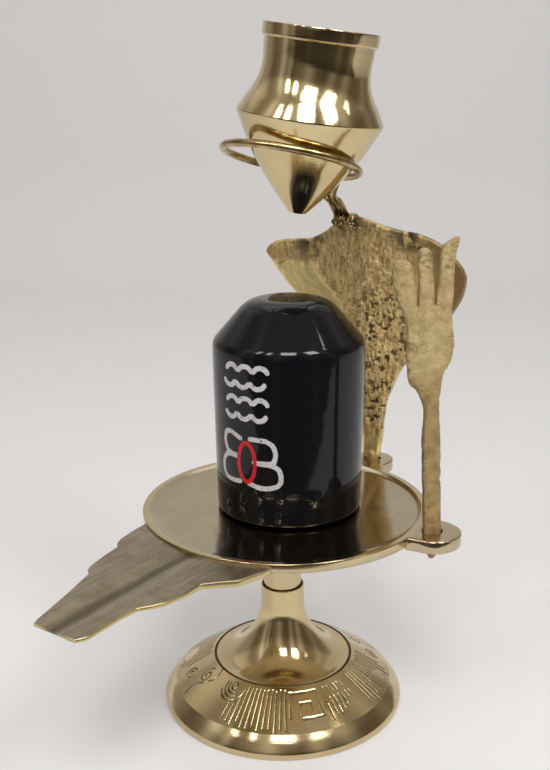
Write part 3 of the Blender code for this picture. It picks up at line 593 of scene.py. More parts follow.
def footEngraving(azimuth, radius):
    # Cut depth 0 to 1, alike on both half turns: fields of straight cuts towards the
    # axis, a pitch apart with a small zigzag and with smooth ovals left in them, and
    # between the fields the engraved lines, worn in places
    p = foot
    half = np.mod(azimuth + math.pi, math.pi)
    x, y, degrees = half * 20.0, radius - 20.0, np.degrees(half)
    count = round(math.pi * 21.0 / p["cutPitch"])
    tooth = np.abs(np.mod(radius / p["zigzagStep"], 1) * 2 - 1) - 0.5
    phase = half / math.pi * count
    pitch = math.pi * radius / count
    away = np.abs((np.mod(phase, 1) - 0.5) * pitch + tooth * p["zigzag"])
    cuts = 1 - smoothStep((away - p["cutHalf"]) / 0.11)
    ragged = 0.5 * np.sin(np.floor(phase) * 2.3)
    inside = np.zeros(x.shape)
    for start, end, low, high in p["cutFields"]:
        field = (degrees > start) & (degrees < end)
        inside = np.maximum(inside, field & (radius > low + ragged * 0.4) & (radius < high + ragged))
    for place, far, halfLength, halfWidth in p["ovals"]:
        run, out = (x - math.radians(place) * 20) / (halfLength + 0.3), (y - far + 20) / (halfWidth + 0.3)
        inside = inside * (np.hypot(run, out) > 1)
    inside = inside * (np.hypot(x - p["dot"][0], y - p["dot"][1]) > p["dotClear"])
    nearest = np.minimum.reduce([strokeDistance(x, y, line) for line in engravedLines()])
    worn = 0.78 + 0.22 * np.sin(x * 1.9 + y * 1.3)
    return np.maximum(cuts * inside, (1 - smoothStep((nearest - 0.07) / 0.14)) * worn)


def bandShell():
    # A thin closed ring; its upper side is lowered by the engraving
    p = foot
    top = bandTop(np.linspace(0, 1, p["bandRows"]))
    under = bandTop(np.array([0.96, 0.5, 0.04])) - (0, p["bandSeat"] + 0.12)
    path = np.vstack([top, under])
    azimuth = evenTurn(p["bandColumns"])
    grid = turnedGrid(path, azimuth)
    cut = footEngraving(*np.broadcast_arrays(azimuth, path[:, 0:1]))
    cut = cut * (np.arange(len(path)) < p["bandRows"])[:, None]
    grid[..., 2] -= cut * p["cutDepth"]
    return shell(grid, loop=True, along=pathLength(path)[:, None], groove=cut * 0.9)


def makeFoot():  # the groove beside the ring stays dark
    p = foot
    path = footPath()
    grid = turnedGrid(path, evenTurn(p["columns"]))
    middle = p["bandInner"][0] + p["groove"]
    dark = (np.abs(path[:, 0] - middle) < 0.22) & (np.abs(path[:, 1] - p["bandInner"][1]) < 0.6)
    finish = turnedBrass("foot_brass", 0.35)
    body = shell(grid, along=pathLength(path)[:, None], groove=dark[:, None] * 1.0)
    addPiece("turned_foot_body", [body], "turned_foot", finish, sharp=38)
    addPiece("engraved_ring", [bandShell()], "turned_foot", finish, sharp=60)


# Spouted dish

dish = {
    "top": 48.3, "thickness": 2.0, "radius": 31.5, "offset": (0.7, -2.0), "rimWidth": 1.3,
    "rimSlope": 1.2, "seatRadius": 20.0, "seatDepth": 1.0, "floorRise": 0.4,
    "spigotRadius": 4.3, "spigotEnd": 26.7, "flare": 4.0, "columns": 360,
}
spout = {
    "angle": math.radians(-124.6), "reach": 69.58, "rootHalf": 17.325, "step": 0.5,
    "thickness": 1.4, "tipThickness": 0.8, "channelHalf": 4.2, "channelDepth": 0.4,
    "left": [(.36, 1), (.43, .985), (.506, .94), (.535, .89), (.55, .815), (.62, .77), (.686, .715),
             (.712, .665), (.722, .59), (.85, .43), (.985, .28), (1, .25)],
    "right": [(.36, 1), (.445, .995), (.53, .90), (.568, .74), (.605, .605), (.668, .615), (.735, .57),
              (.768, .50), (.80, .41), (.858, .385), (.975, .40), (1, .345)],
}
ears = {
    "thickness": 2.9, "hole": 2.1, "sweep": 7.5, "columns": 160,
    "trident": {"radius": 6.0, "reach": 35.7, "angle": math.radians(-29.2), "back": 3.4},
    "hood": {"radius": 5.08, "reach": 35.7, "angle": math.radians(50.5), "back": 6.0},
}


def polar(reach, angle, height=0.0):
    return np.array([reach * math.cos(angle), reach * math.sin(angle), height])


tridentEar = polar(ears["trident"]["reach"], ears["trident"]["angle"])
hoodEar = polar(ears["hood"]["reach"], ears["hood"]["angle"])


def dishShell():
    # Turned profile; above its underside the disc is moved a little off the spigot's axis
    p = dish
    under = p["top"] - p["thickness"]
    rim = p["radius"] - p["rimWidth"]
    seat = p["top"] - p["seatDepth"]
    a = np.radians(np.linspace(0, 80, 9))
    flare = [(p["spigotRadius"] + p["flare"] * (1 - math.cos(v)), under - p["flare"] * (1 - math.sin(v)), 0)
             for v in a[::-1]]
    path = roundedCorners([
        (0.05, seat, 0), (p["seatRadius"], seat, 0.6),
        ((rim - p["rimSlope"] + p["seatRadius"]) / 2, seat + 0.13, 2.0),
        (rim - p["rimSlope"], seat + p["floorRise"], 0.5), (rim, p["top"], 0.2),
        (p["radius"], p["top"], 0.25), (p["radius"], under, 0.3), *flare,
        (p["spigotRadius"], p["spigotEnd"], 0.3), (0.05, p["spigotEnd"], 0),
    ], steps=4)
    path = splitLong(path, 1.0)
    grid = turnedGrid(path, evenTurn(p["columns"]))
    share = smoothStep((path[:, 0] - p["spigotRadius"]) / p["radius"] * 2) * (path[:, 1] > under - 0.01)
    grid[..., :2] += share[:, None, None] * p["offset"]
    wave = roughNoise(grid, 14.0, 2, 3.0)
    grid[..., 2] += wave * 0.05 * (share > 0)[:, None]
    polish = (path[:, 0] > rim - 0.1) & (path[:, 1] > seat) | (path[:, 1] < under - 0.5)
    along = pathLength(path)[:, None]
    return shell(grid, along=along, polish=polish[:, None] * 1.0, across=0.0, edge=0.0)


def spoutShell():
    # Closed rings across a tongue: top edge to edge, rounded sides, underside. Height of
    # the top = dish top - step - channel (1 - |across| / half), lower inside the disc
    p = spout
    rows, topCount, sideCount = 230, 46, 5
    u = np.linspace(0.37, 1.0, rows)
    left = np.interp(u, *np.array(p["left"]).T) * -p["rootHalf"]
    right = np.interp(u, *np.array(p["right"]).T) * p["rootHalf"]
    kernel = np.ones(5) / 5
    left[2:-2] = np.convolve(left, kernel, "valid")
    right[2:-2] = np.convolve(right, kernel, "valid")
    along = u * p["reach"]
    t = np.linspace(0, 1, topCount)
    half = np.radians(np.linspace(0, 180, sideCount + 2))[1:-1]
    # Ring: shares across (0 left, 1 right) and levels (1 top, -1 underside)
    share = np.concatenate([t, np.ones(sideCount), t[::-1], np.zeros(sideCount)])
    level = np.concatenate([np.ones(topCount), np.cos(half), -np.ones(topCount), -np.cos(half)])
    bulge = np.concatenate([np.zeros(topCount), np.sin(half), np.zeros(topCount), -np.sin(half)])
    inset = 0.22
    across = blendTo(left[:, None] + inset, right[:, None] - inset, share) + bulge * inset
    thick = blendTo(p["thickness"], p["tipThickness"],
                    smoothStep((along - dish["radius"]) / (p["reach"] * 0.8 - dish["radius"])))
    channel = p["channelDepth"] * np.clip(1 - np.abs(across) / p["channelHalf"], 0, 1)
    x = along[:, None] * np.cos(p["angle"]) - across * np.sin(p["angle"])
    y = along[:, None] * np.sin(p["angle"]) + across * np.cos(p["angle"])
    fromDisc = np.hypot(x - dish["offset"][0], y - dish["offset"][1])
    hidden = 0.75 * smoothStep((dish["radius"] - 0.1 - fromDisc) / 0.9)
    top = dish["top"] - p["step"] - channel - hidden
    under = dish["top"] - p["step"] - thick[:, None] + 0.12 * (channel > 0)
    z = blendTo(under, top, (level + 1) / 2)
    grid = np.stack([x, y, z], axis=-1)
    grid[..., 2] += roughNoise(grid, 5.0, 3, 1.0) * 0.05
    edge = np.clip(np.abs(bulge) * 1.6, 0, 1)
    return shell(grid, along=along[:, None], polish=0.0, across=across, edge=edge)


def earShell(place):
    # A flat ring round the pin hole: its outside is a circle of the ear's radius, and
    # towards the dish the swelling side |across| = radius + sweep (1 - smooth share)
    p = ears
    angle = evenTurn(p["columns"])
    reachOut = np.full(len(angle), place["radius"])
    inside, blend = dish["radius"] * 0.78, dish["radius"] + 2.0
    for _ in range(12):
        x = np.minimum(reachOut * np.cos(angle), 0)
        swell = 1 - smoothStep((place["reach"] + x - inside) / (blend - inside))
        width = place["radius"] + p["sweep"] * swell
        side = width / np.maximum(np.abs(np.sin(angle)), 1e-3)
        back = place["back"] / np.maximum(-np.cos(angle), 1e-3)
        wanted = np.where(np.cos(angle) < 0, np.minimum(side, back), place["radius"])
        reachOut = blendTo(reachOut, wanted, 0.6)
    low, high = dish["top"] - p["thickness"], dish["top"] - 0.02
    ring = roundedCorners([
        (0, (low + high) / 2, 0), (0, high, 0.2), (0.5, high, 0), (1, high, 0.3), (1, low, 0.3),
        (0, low, 0.2), (0, (low + high) / 2, 0)], steps=4)[:-1]
    share, height = ring[:, 0], ring[:, 1]
    radius = blendTo(p["hole"], reachOut[None, :], np.clip(share, 0, 1)[:, None])
    x, y = radius * np.cos(angle), radius * np.sin(angle)
    centre = polar(place["reach"], place["angle"])
    cosine, sine = math.cos(place["angle"]), math.sin(place["angle"])
    grid = np.stack([centre[0] + x * cosine - y * sine, centre[1] + x * sine + y * cosine,
                     np.broadcast_to(height[:, None], x.shape)], axis=-1)
    grid += roughNoise(grid, 2.5, 3, 5.0)[..., None] * 0.05 * (share[:, None, None] > 0.4)
    return shell(grid, loop=True, along=x, polish=0.4, across=y, edge=0.0)


def makeDish():
    finish = dishBrass("dish_brass")
    addPiece("dish_and_spigot", [dishShell()], "spouted_dish", finish, sharp=50)
    brushed = brushedBrass("spout_brass")
    addPiece("dish_spout", [spoutShell()], "spouted_dish", brushed, sharp=60)
    parts = [earShell(ears["trident"]), earShell(ears["hood"])]
    addPiece("dish_ears", parts, "spouted_dish", finish, sharp=50)


# Lingam

stone = {
    "centre": (1.6, 0.4), "base": 47.6, "height": 46.6, "radius": 16.5, "footRadius": 16.0,
    "shoulder": 37.4, "crown": 9.0, "edge": 1.2, "fineColumns": 130, "coarseColumns": 150,
    "markFrom": math.radians(-168), "markTo": math.radians(-84), "markMiddle": math.radians(-124.5),
    "stroke": 0.52,
    # Rows of brush strokes: height and shift of each row, places along it, radius and rise
    "strokeRows": [(34.4, 0.3), (31.0, -0.4), (27.6, 0.2), (24.2, -0.2)],
    "strokePlaces": (-3.6, 0.0, 3.6), "strokeRadius": 1.75, "strokeRise": 1.2,
    "lobes": [
        [(-1.3, 19.3), (-4.3, 20.3), (-5.9, 19.6), (-6.2, 17.6), (-5.0, 15.7), (-2.2, 15.2), (-5.2, 15.1),
         (-7.0, 13.4), (-6.9, 10.9), (-5.2, 9.6), (-1.6, 9.7)],
        [(1.2, 19.5), (4.9, 19.4), (6.6, 18.2), (6.9, 16.0), (6.0, 14.6), (2.0, 14.5), (6.4, 14.1),
         (7.9, 12.8), (8.0, 10.6), (6.8, 9.5), (4.2, 9.0), (0.8, 9.6)],
    ],
    "ring": ((0.2, 14.2), 2.1, 4.3),
    # Dried drops of gloss near the foot: azimuth, height, half width and half height
    "dropRise": 0.6,
    "drops": [(-143, 3.2, 0.7, 1.1), (-128, 4.6, 0.8, 1.6), (-113.6, 7.3, 0.8, 1.3),
              (-97, 7.2, 0.7, 0.9), (-70, 6.4, 1.2, 1.1), (-112, 2.6, 0.5, 0.8), (-99, 2.6, 0.6, 0.7)],
}


def stonePath():
    # Turned profile from the top down: flat crown, sloped shoulder, side and narrower foot
    p = stone
    top, shoulder, edge = p["height"], p["shoulder"], p["edge"]
    corners = [
        (0.05, top, 0), (p["crown"] - 0.3, top - 0.1, 3.2), (p["radius"] - 0.1, shoulder + 0.2, 1.1),
        (p["radius"], shoulder - 2.4, 0.5), (p["footRadius"], 1.44, 0.4),
        (p["footRadius"] - 0.1, 0.35, 0.5), (p["footRadius"] - edge, 0, 0.3), (0.05, 0, 0),
    ]
    return splitLong(roundedCorners(corners, steps=10), 0.3)


def paintedMarks(arc, up):
    # Distances to the painted strokes in mm along the side and up it. Upper place: rows
    # of plain curved strokes. Lower place: outlined lobes with a red ring between them.
    p = stone
    rows = []
    for row, (height, shift) in enumerate(p["strokeRows"]):
        start, rise = (210, p["strokeRise"]) if row % 2 else (30, -p["strokeRise"])
        for place in p["strokePlaces"]:
            rows.append(arcLine((place + shift, height + rise), p["strokeRadius"], start, start + 120))
    rows += [throughPoints(lobe, np.linspace(0, 1, 60)) for lobe in p["lobes"]]
    white = np.minimum.reduce([strokeDistance(arc, up, line) for line in rows])
    red = strokeDistance(arc, up, ovalLine(*p["ring"], 40))
    return white - p["stroke"], red - p["stroke"] * 0.9


def makeStone():
    p = stone
    path = stonePath()
    # Columns are close together where the marks are, so their outlines stay crisp
    fine = np.linspace(p["markFrom"], p["markTo"], p["fineColumns"], endpoint=False)
    coarse = np.linspace(p["markTo"], p["markFrom"] + tau, p["coarseColumns"], endpoint=False)
    angle = np.concatenate([fine, coarse])
    grid = turnedGrid(path, angle)
    height = path[:, 1:2]
    wave = np.abs(roughNoise(grid, 9.0, 2, 2.0)) * 0.05 + np.abs(roughNoise(grid, 3.0, 2, 4.0)) * 0.008
    for place, level, halfWidth, halfHeight in p["drops"]:
        run = (angle - math.radians(place)) * p["radius"] / halfWidth
        wave = wave - p["dropRise"] * np.exp(-run**2 - ((height - level) / halfHeight)**2)
    grid[..., :2] *= (1 - wave / p["radius"])[..., None]
    arc = (angle - p["markMiddle"] + math.pi) % tau - math.pi
    marks = paintedMarks(*np.broadcast_arrays(arc * p["radius"], height))
    # Far from every mark, and on the top and the foot, the distance stays at 9
    onSide = (height < p["shoulder"] + 1) & (height > 2)
    white, red = (np.where(onSide, np.minimum(mark, 9.0), 9.0) for mark in marks)
    grid += np.array([*p["centre"], p["base"]])
    parts = [shell(grid, white=white, red=red)]
    addPiece("black_lingam", parts, "lingam", paintedStone("painted_stone"), sharp=60)


# Drip pot

pot = {
    "tip": (3.5, 1.5, 112.0), "leanRight": math.radians(7.6), "leanForward": math.radians(4.0),
    "tipRadius": 1.9, "shoulderRadius": 15.1, "neckRadius": 10.6, "rimRadius": 11.8, "rimStep": 0.6,
    "shoulder": 19.4, "height": 36.66, "rimBand": 2.4, "bevel": 3.0, "inset": 1.5, "fullness": 1.3,
    "wall": 0.9, "hole": 0.7, "edge": 0.3, "columns": 420,
}


def potOuter():
    # From the rim down: band, a hollow side (straight line less a sag 0.78 sin(pi t^0.8)
    # of its way to the neck), the turned edge, and the full cone down to the tip
    p = pot
    rimLow = p["height"] - p["rimBand"]
    start, end = p["rimRadius"] - p["rimStep"], p["shoulderRadius"] - p["inset"]
    t = np.linspace(0, 1, 20)[1:]
    straight = blendTo(start, end, t)
    side = np.stack([straight - (straight - p["neckRadius"]) * 0.78 * np.sin(np.pi * t**0.8),
                     blendTo(rimLow - p["edge"], p["shoulder"] + p["bevel"], t)], axis=-1)
    band = roundedCorners([
        (p["rimRadius"] - 0.5, p["height"], 0), (p["rimRadius"], p["height"], p["edge"]),
        (p["rimRadius"] - 0.1, rimLow, 0.15), (start, rimLow - p["edge"], 0)], steps=4)
    t = np.linspace(0, 1, 24)[1:]
    belly = np.stack([blendTo(p["shoulderRadius"], p["tipRadius"], t) + p["fullness"] * np.sin(np.pi * t),
                      p["shoulder"] * (1 - t)], axis=-1)
    turn = roundedCorners([
        (end, p["shoulder"] + p["bevel"], 0), (p["shoulderRadius"], p["shoulder"] + 0.1, 0.18),
        (*belly[0], 0)], steps=4)[1:-1]
    return np.vstack([splitLong(band, 0.6), side, splitLong(turn, 0.5), belly])


def potTurn():  # lean about Y, then about X, as one turning matrix
    a, b = pot["leanRight"], pot["leanForward"]
    aboutY = np.array([[math.cos(a), 0, math.sin(a)], [0, 1, 0], [-math.sin(a), 0, math.cos(a)]])
    aboutX = np.array([[1, 0, 0], [0, math.cos(b), -math.sin(b)], [0, math.sin(b), math.cos(b)]])
    return aboutY @ aboutX


def makePot():
    # The outer side, the drip hole, the inner side a wall further in and the lip are one
    # closed profile, carried round the pot's own axis and then leaned
    p = pot
    outer = potOuter()
    floor = p["wall"] * 2.2
    inner = outer[::-1]
    inner = inner[(inner[:, 1] > floor) & (inner[:, 1] < p["height"] - p["rimBand"])]
    inner = np.stack([np.maximum(inner[:, 0] - p["wall"] * 1.15, p["hole"]), inner[:, 1]], axis=-1)
    mouth = p["rimRadius"] - p["wall"] - p["rimStep"]
    lip = np.array([(mouth, p["height"] - p["rimBand"]), (mouth, p["height"] - 0.1),
                    (mouth + 0.1, p["height"])])
    hole = np.array([(p["hole"] + 0.15, 0.0), (p["hole"], 0.15), (p["hole"], floor)])
    path = np.vstack([outer, hole, inner, lip])
    grid = turnedGrid(path, evenTurn(p["columns"])) @ potTurn().T + p["tip"]
    parts = [shell(grid, loop=True, along=pathLength(path)[:, None], groove=0.0)]
    finish = turnedBrass("pot_brass", 0.25)
    addPiece("turned_drip_pot", parts, "drip_pot", finish, sharp=40)


# Tangs of the hood and the trident, in the ears

tang = {"radius": 1.7, "low": 42.2, "top": 50.8, "taper": 2.2, "columns": 48}


def tangShell(ear, tip, **values):
    # A worn round pin, radius times (1 - 0.07 noise), thinner below the ear
    radius, low, top = tang["radius"], tang["low"], tang["top"]
    pin = np.array([(0.05, low), (tip, low), (radius, low + tang["taper"]), (radius, top - 0.8),
                    (radius * 0.7, top - 0.1), (0.05, top)])
    grid = turnedGrid(splitLong(pin, 0.3), evenTurn(tang["columns"]))
    grid[..., :2] *= (1 - 0.07 * valueNoise(grid, 0.9, 3.0))[..., None]
    return shell(grid + ear, **values)


# Cobra hood

hood = {
    "height": 60.5, "halfWidth": 25.0, "thickness": 2.4, "facing": math.radians(247),
    "bow": 10.0, "cup": 1.2, "throat": 0.8, "base": 48.6,
    "frontColumns": 240, "backColumns": 80, "rows": 300, "soft": 1.2, "tangTip": 1.0,
    # The flank that faces the light, painted pale as a highlight: its edge's place at the top and its
    # slope, and its top and low end
    "flankFrom": -0.52, "flankSlope": 1.43, "flankTop": 0.835, "flankLow": 0.56,
    "left": [(-.10, 0), (-.10, .09), (-.12, .19), (-.16, .28), (-.28, .42), (-.41, .52), (-.60, .62),
             (-.79, .715), (-.91, .79), (-.984, .85)],
    "right": [(.075, 0), (.105, .09), (.13, .19), (.17, .27), (.34, .42), (.50, .50), (.68, .575),
              (.83, .655), (.91, .72), (.94, .78)],
    "top": [(-.984, .85), (-.95, .875), (-.85, .897), (-.70, .905), (-.54, .91), (-.40, .935),
            (-.30, .965), (-.18, .995), (-.07, 1.005), (.05, .992), (.155, .976), (.335, .956),
            (.519, .944), (.70, .912), (.83, .862), (.91, .82), (.94, .78)],
}
hoodFront = np.array([math.cos(hood["facing"]), math.sin(hood["facing"]), 0.0])
hoodRight = np.array([-hoodFront[1], hoodFront[0], 0.0])


def hoodPlace(column, row):
    # Between the side edges at that row, plus the top edge's own shape faded by row^3
    left, right = (throughPoints(hood[side], row) for side in ("left", "right"))
    across = blendTo(left, right, column[..., None])
    top = np.array(hood["top"])
    level = blendTo(top[0], top[-1], column[..., None])
    place = across + (throughPoints(top, column) - level) * (row**3)[..., None]
    return place[..., 0] * hood["halfWidth"], place[..., 1] * hood["height"]


def hoodSurface(across, up):
    # Leans forward as bow (up / height)^1.8, with cupped sides and a raised throat line
    p = hood
    forward = p["bow"] * np.maximum(up / p["height"], 0)**1.8
    spread = np.minimum(1, np.abs(across) / p["halfWidth"])
    forward = forward + p["cup"] * spread**2 * smoothStep(up / p["height"] * 1.5)
    forward = forward + p["throat"] * np.exp(-(across / 4.0)**2) * smoothStep(up / p["height"] * 2)
    base = hoodEar + np.array([0, 0, p["base"]])
    return (base + across[..., None] * hoodRight + forward[..., None] * hoodFront
            + up[..., None] * np.array([0, 0, 1.0]))


def makeHood():
    p = hood
    even = np.linspace(0, 1, p["frontColumns"])
    eased = (1 - np.cos(np.linspace(0, np.pi, p["frontColumns"]))) / 2
    rows = np.sin(np.linspace(0, np.pi / 2, p["rows"]))**0.9
    column, row = np.meshgrid(blendTo(even, eased, 0.6), rows)
    across, up = hoodPlace(column, row)
    middle = hoodSurface(across, up)
    # Half thickness falls to nothing over the soft edge at each side and the top
    width = np.linalg.norm(middle[:, -1] - middle[:, 0], axis=1)[:, None]

    def fall(gap):
        return np.sqrt(np.clip(1 - (1 - np.clip(gap / p["soft"], 0, 1))**2, 0, 1))

    half = p["thickness"] / 2 * fall(np.minimum(column, 1 - column) * width)
    half = half * fall((1 - row) * p["height"])
    share, level = across / p["halfWidth"], up / p["height"]
    # The flank that faces the light, painted pale as a highlight, lies left of a ragged line that falls
    # steeply to the right
    edgeNoise = roughNoise(middle, 2.5, 3, 13.0) * 0.06
    below = p["flankTop"] - level
    fromLine = p["flankFrom"] + p["flankSlope"] * below - share + edgeNoise
    low, high = smoothStep((level - p["flankLow"]) / 0.10), smoothStep((below + edgeNoise * 0.5) / 0.03)
    flank = smoothStep(fromLine / 0.06) * low * high
    ridge = np.exp(-((fromLine + 0.03) / 0.03)**2) * low * high
    rough = np.exp(-((share - 0.02) / 0.47)**4) * smoothStep((level - 0.06) / 0.12) * (1 - flank)
    lip = smoothStep((-share - 0.62) / 0.10) * smoothStep((level - 0.86) / 0.02)
    # Relief: slow lumps, upright streaks and crumbs in the rough middle, and pits
    lumps = roughNoise(middle, 5.0, 3, 6.0)
    streaks = roughNoise(middle * (1, 1, 0.22), 1.1, 3, 17.0)
    crumbs = roughNoise(middle, 0.9, 2, 8.0)
    dots = valueNoise(middle, 1.0, 11.0) * 0.6 + valueNoise(middle, 0.5, 12.0) * 0.4
    pits = smoothStep((dots - 0.57) / 0.09)
    pits = pits * rough * smoothStep((0.80 - level) / 0.2 + 0.15) * smoothStep((share + 0.25) / 0.3)
    relief = lumps * 0.18 * (1 - flank) + (streaks * 0.24 + crumbs * 0.22) * np.maximum(rough, lip * 0.8)
    relief = relief + ridge * 0.35 - flank * 0.30 + crumbs * 0.05 - pits * 0.40
    front = middle + hoodFront * (half * (1 + np.clip(relief - 0.14, -0.6, 0.0)))[..., None]
    backRelief = roughNoise(middle, 4.0, 3, 9.0) * 0.2 + roughNoise(middle, 1.2, 2, 10.0) * 0.15
    back = middle - hoodFront * (half * (1 + np.clip(backRelief, -0.5, 0.0)))[..., None]
    behind = np.linspace(p["frontColumns"] - 2, 1, p["backColumns"]).round().astype(int)

    def bothSides(ahead, backward):
        return np.concatenate([ahead, backward[:, behind]], axis=1)

    nearTop = smoothStep((level - throughPoints(p["top"], column)[..., 1] + 0.10) / 0.06)
    patches = (np.exp(-((share + 0.52) / 0.15)**2) + np.exp(-((share - 0.44) / 0.20)**2)) * nearTop
    knot = np.exp(-((share + 0.10) / 0.12)**2) * smoothStep((nearTop - 0.5) / 0.4)
    burnt = np.clip(patches + knot, 0, 1) * smoothStep((roughNoise(middle, 1.6, 3, 14.0) + 0.40) / 0.35)
    plain = np.zeros(share.shape)
    # Brown: the lower left lobe's own tone, and on the right lobe painted shade
    brown = 0.45 * smoothStep((-share - 0.40) / 0.25) * (1 - flank) * (1 - lip)
    brown = brown + smoothStep((share - 0.42) / 0.35)
    rough = np.maximum.reduce([rough, lip * 0.6, ridge])
    sheet = shell(
        bothSides(front, back), pit=bothSides(pits, plain + 0.1), burnt=bothSides(burnt, burnt * 0.5),
        bare=bothSides(flank, plain), brown=bothSides(brown, plain + 0.3),
        rough=bothSides(rough, plain + 0.35))
    pin = tangShell(hoodEar, p["tangTip"], pit=0.2, burnt=0.0, bare=0.0, brown=0.2, rough=0.7)
    finish = castBrass("cast_hood_brass")
    addPiece("cast_hood", [sheet, pin], "cobra_hood", finish, weld=0.004)


# Trident

fork = {
    "height": 60.6, "width": 10.6, "thickness": 3.2, "base": 48.6,
    "tangTip": 0.65, "stemTop": 76.0, "bladeFrom": 84.0, "stemRows": 300, "prongRows": 110,
    # Each limb: left and right edges as (share of width, share of height), bottom to top
    "stem": ([(-.18, -.03), (-.24, .20), (-.27, .323), (-.245, .394), (-.264, .436), (-.33, .467),
              (-.415, .495), (-.55, .521), (-.61, .586), (-.60, .634), (-.62, .70), (-.58, .755),
              (-.50, .785)],
             [(.17, -.03), (.085, .335), (.038, .445), (.047, .48), (.085, .535), (.16, .573), (.236, .602),
              (.28, .652), (.264, .68), (.217, .735), (.20, .765), (.12, .785)]),
    "prongs": [
        ([(-.62, .66), (-.64, .716), (-.72, .762), (-.82, .80), (-.90, .863), (-.92, .90), (-.86, .926)],
         [(-.40, .66), (-.42, .76), (-.453, .83), (-.52, .894), (-.557, .912), (-.63, .924)]),
        ([(-.46, .68), (-.435, .78), (-.42, .84), (-.445, .90), (-.462, .94), (-.38, .962)],
         [(-.10, .68), (-.113, .80), (-.13, .85), (-.16, .894), (-.19, .945), (-.27, .962)]),
        ([(-.14, .68), (-.10, .80), (-.05, .86), (-.038, .93), (-.01, .97), (.14, .988), (.24, .999)],
         [(.25, .68), (.217, .744), (.226, .817), (.226, .909), (.26, .95), (.29, .985), (.30, 1.0)]),
    ],
}


def limbShell(left, right, rows, deep, seed):
    # Rings of x = middle + half width cos a, y = depth sin a, with cos and sin to the power
    # 0.6 to square them off, each between the two edges at its own height
    p = fork
    t = np.linspace(0, 1, rows)
    a, b = (throughPoints(np.array(edge) * (p["width"], p["height"]), t) for edge in (left, right))
    close = np.sqrt(np.clip(1 - np.clip((t - 0.93) / 0.07, 0, 1)**2, 0.02, 1))
    middle, half = (a + b) / 2, (b - a) / 2 * close[:, None]
    angle = evenTurn(72)
    c, s = (np.sign(v) * np.abs(v)**0.6 for v in (np.cos(angle), np.sin(angle)))
    across = middle[:, 0:1] + half[:, 0:1] * c
    up = middle[:, 1:2] + half[:, 1:2] * c
    grid = np.stack([across, (deep * close)[:, None] * s, up], axis=-1)
    level = up / p["height"]
    tips = smoothStep((level - 0.78) / 0.15)
    slow = roughNoise(grid, 2.6, 3, seed)
    fine = roughNoise(grid, 0.75, 3, seed + 3)
    bump = slow * (0.18 + 0.15 * tips) + fine * (0.12 + 0.22 * tips)
    grid[..., 1] *= 1 + np.clip(bump - 0.04, -0.5, 0.0)
    side = np.clip(roughNoise(grid, 1.3, 3, seed + 5) * 0.30 - 0.02, -0.3, 0.0)
    grid[..., 0] = middle[:, 0:1] + (grid[..., 0] - middle[:, 0:1]) * (1 + side)
    # The second result is how much darker the colour goes: in the dents and towards the narrow sides
    return grid, np.clip(-bump * 2.2 + np.abs(c) ** 6 * 0.35, 0, 1)


def makeTrident():
    p = fork
    place = tridentEar + (0, 0, p["base"])
    limbs = [limbShell(*p["stem"], p["stemRows"], p["thickness"] / 2, 21.0)]
    for number, prong in enumerate(p["prongs"]):
        deep = p["thickness"] / 2 * 0.92
        limbs.append(limbShell(*prong, p["prongRows"], deep, 30.0 + 3 * number))
    parts = []
    for grid, skin in limbs:
        grid = grid + place
        stem = smoothStep((p["bladeFrom"] - grid[..., 2]) / (p["bladeFrom"] - p["stemTop"]))
        parts.append(shell(grid, stem=stem, skin=skin))
    parts.append(tangShell(tridentEar, p["tangTip"], stem=1.0, skin=0.2))
    addPiece("cast_trident", parts, "trident", matBrass("cast_trident_brass"))


# Wire loop and solder bead

wire = {
    "radius": 0.8, "seat": 9.9, "downRight": math.radians(11.5), "upFront": math.radians(13),
    "slackLeft": 4.5, "opening": math.radians(24), "openingMiddle": math.radians(-60),
    "bend": 0.40, "sag": 1.0, "beadPlace": 0.44, "bead": (5.2, 3.6), "drop": 1.0, "endDrop": 1.0,
    "gap": 0.3, "turns": 34, "steps": 460, "sides": 20,
    # Lumps of solder: place to the right and up, width, shares of the bead's depth and
    # height, seed and soot
    "lumps": [(-1.5, 0.6, 2.2, 0.58, 0.80, 5.0, 0.7), (1.3, 0.1, 2.4, 0.56, 0.72, 9.0, 0.1)],
}


def loopPoints(angle):
    # Along each heading, the first place whose distance to the pot's side is the wire's
    # radius and two gaps; plus slack (-cos a)^2 on the left
    p, turn, tip = wire, potTurn(), np.array(pot["tip"])
    right = np.array([math.cos(p["downRight"]), 0, -math.sin(p["downRight"])])
    front = np.array([0, -math.cos(p["upFront"]), math.sin(p["upFront"])])
    seat = tip + turn @ np.array([0, 0, p["seat"]])
    heading = right * np.cos(angle)[:, None] + front * np.sin(angle)[:, None]
    outer = potOuter()
    starts, runs = outer[:-1], np.diff(outer, axis=0)
    near, far = np.zeros(len(angle)), np.full(len(angle), pot["shoulderRadius"] * 1.5)
    for _ in range(24):
        middle = (near + far) / 2
        local = (seat + heading * middle[:, None] - tip) @ turn
        flat = np.stack([np.hypot(local[:, 0], local[:, 1]), local[:, 2]], axis=-1)
        toStart = flat[:, None] - starts
        t = np.clip((toStart * runs).sum(-1) / (runs**2).sum(-1), 0, 1)
        distance = np.linalg.norm(toStart - runs * t[..., None], axis=-1).min(1)
        side = np.interp(flat[:, 1], outer[::-1, 1], outer[::-1, 0])
        close = (flat[:, 0] < side) | (distance < p["radius"] + 2 * p["gap"])
        near, far = np.where(close, middle, near), np.where(close, far, middle)
    slack = p["slackLeft"] * np.maximum(0, -np.cos(angle))**2
    return seat + heading * (far + slack)[:, None]


def crestPoint():  # where the solder sits on the hood's top edge
    return hoodSurface(*hoodPlace(np.array(wire["beadPlace"]), np.array(1.0)))


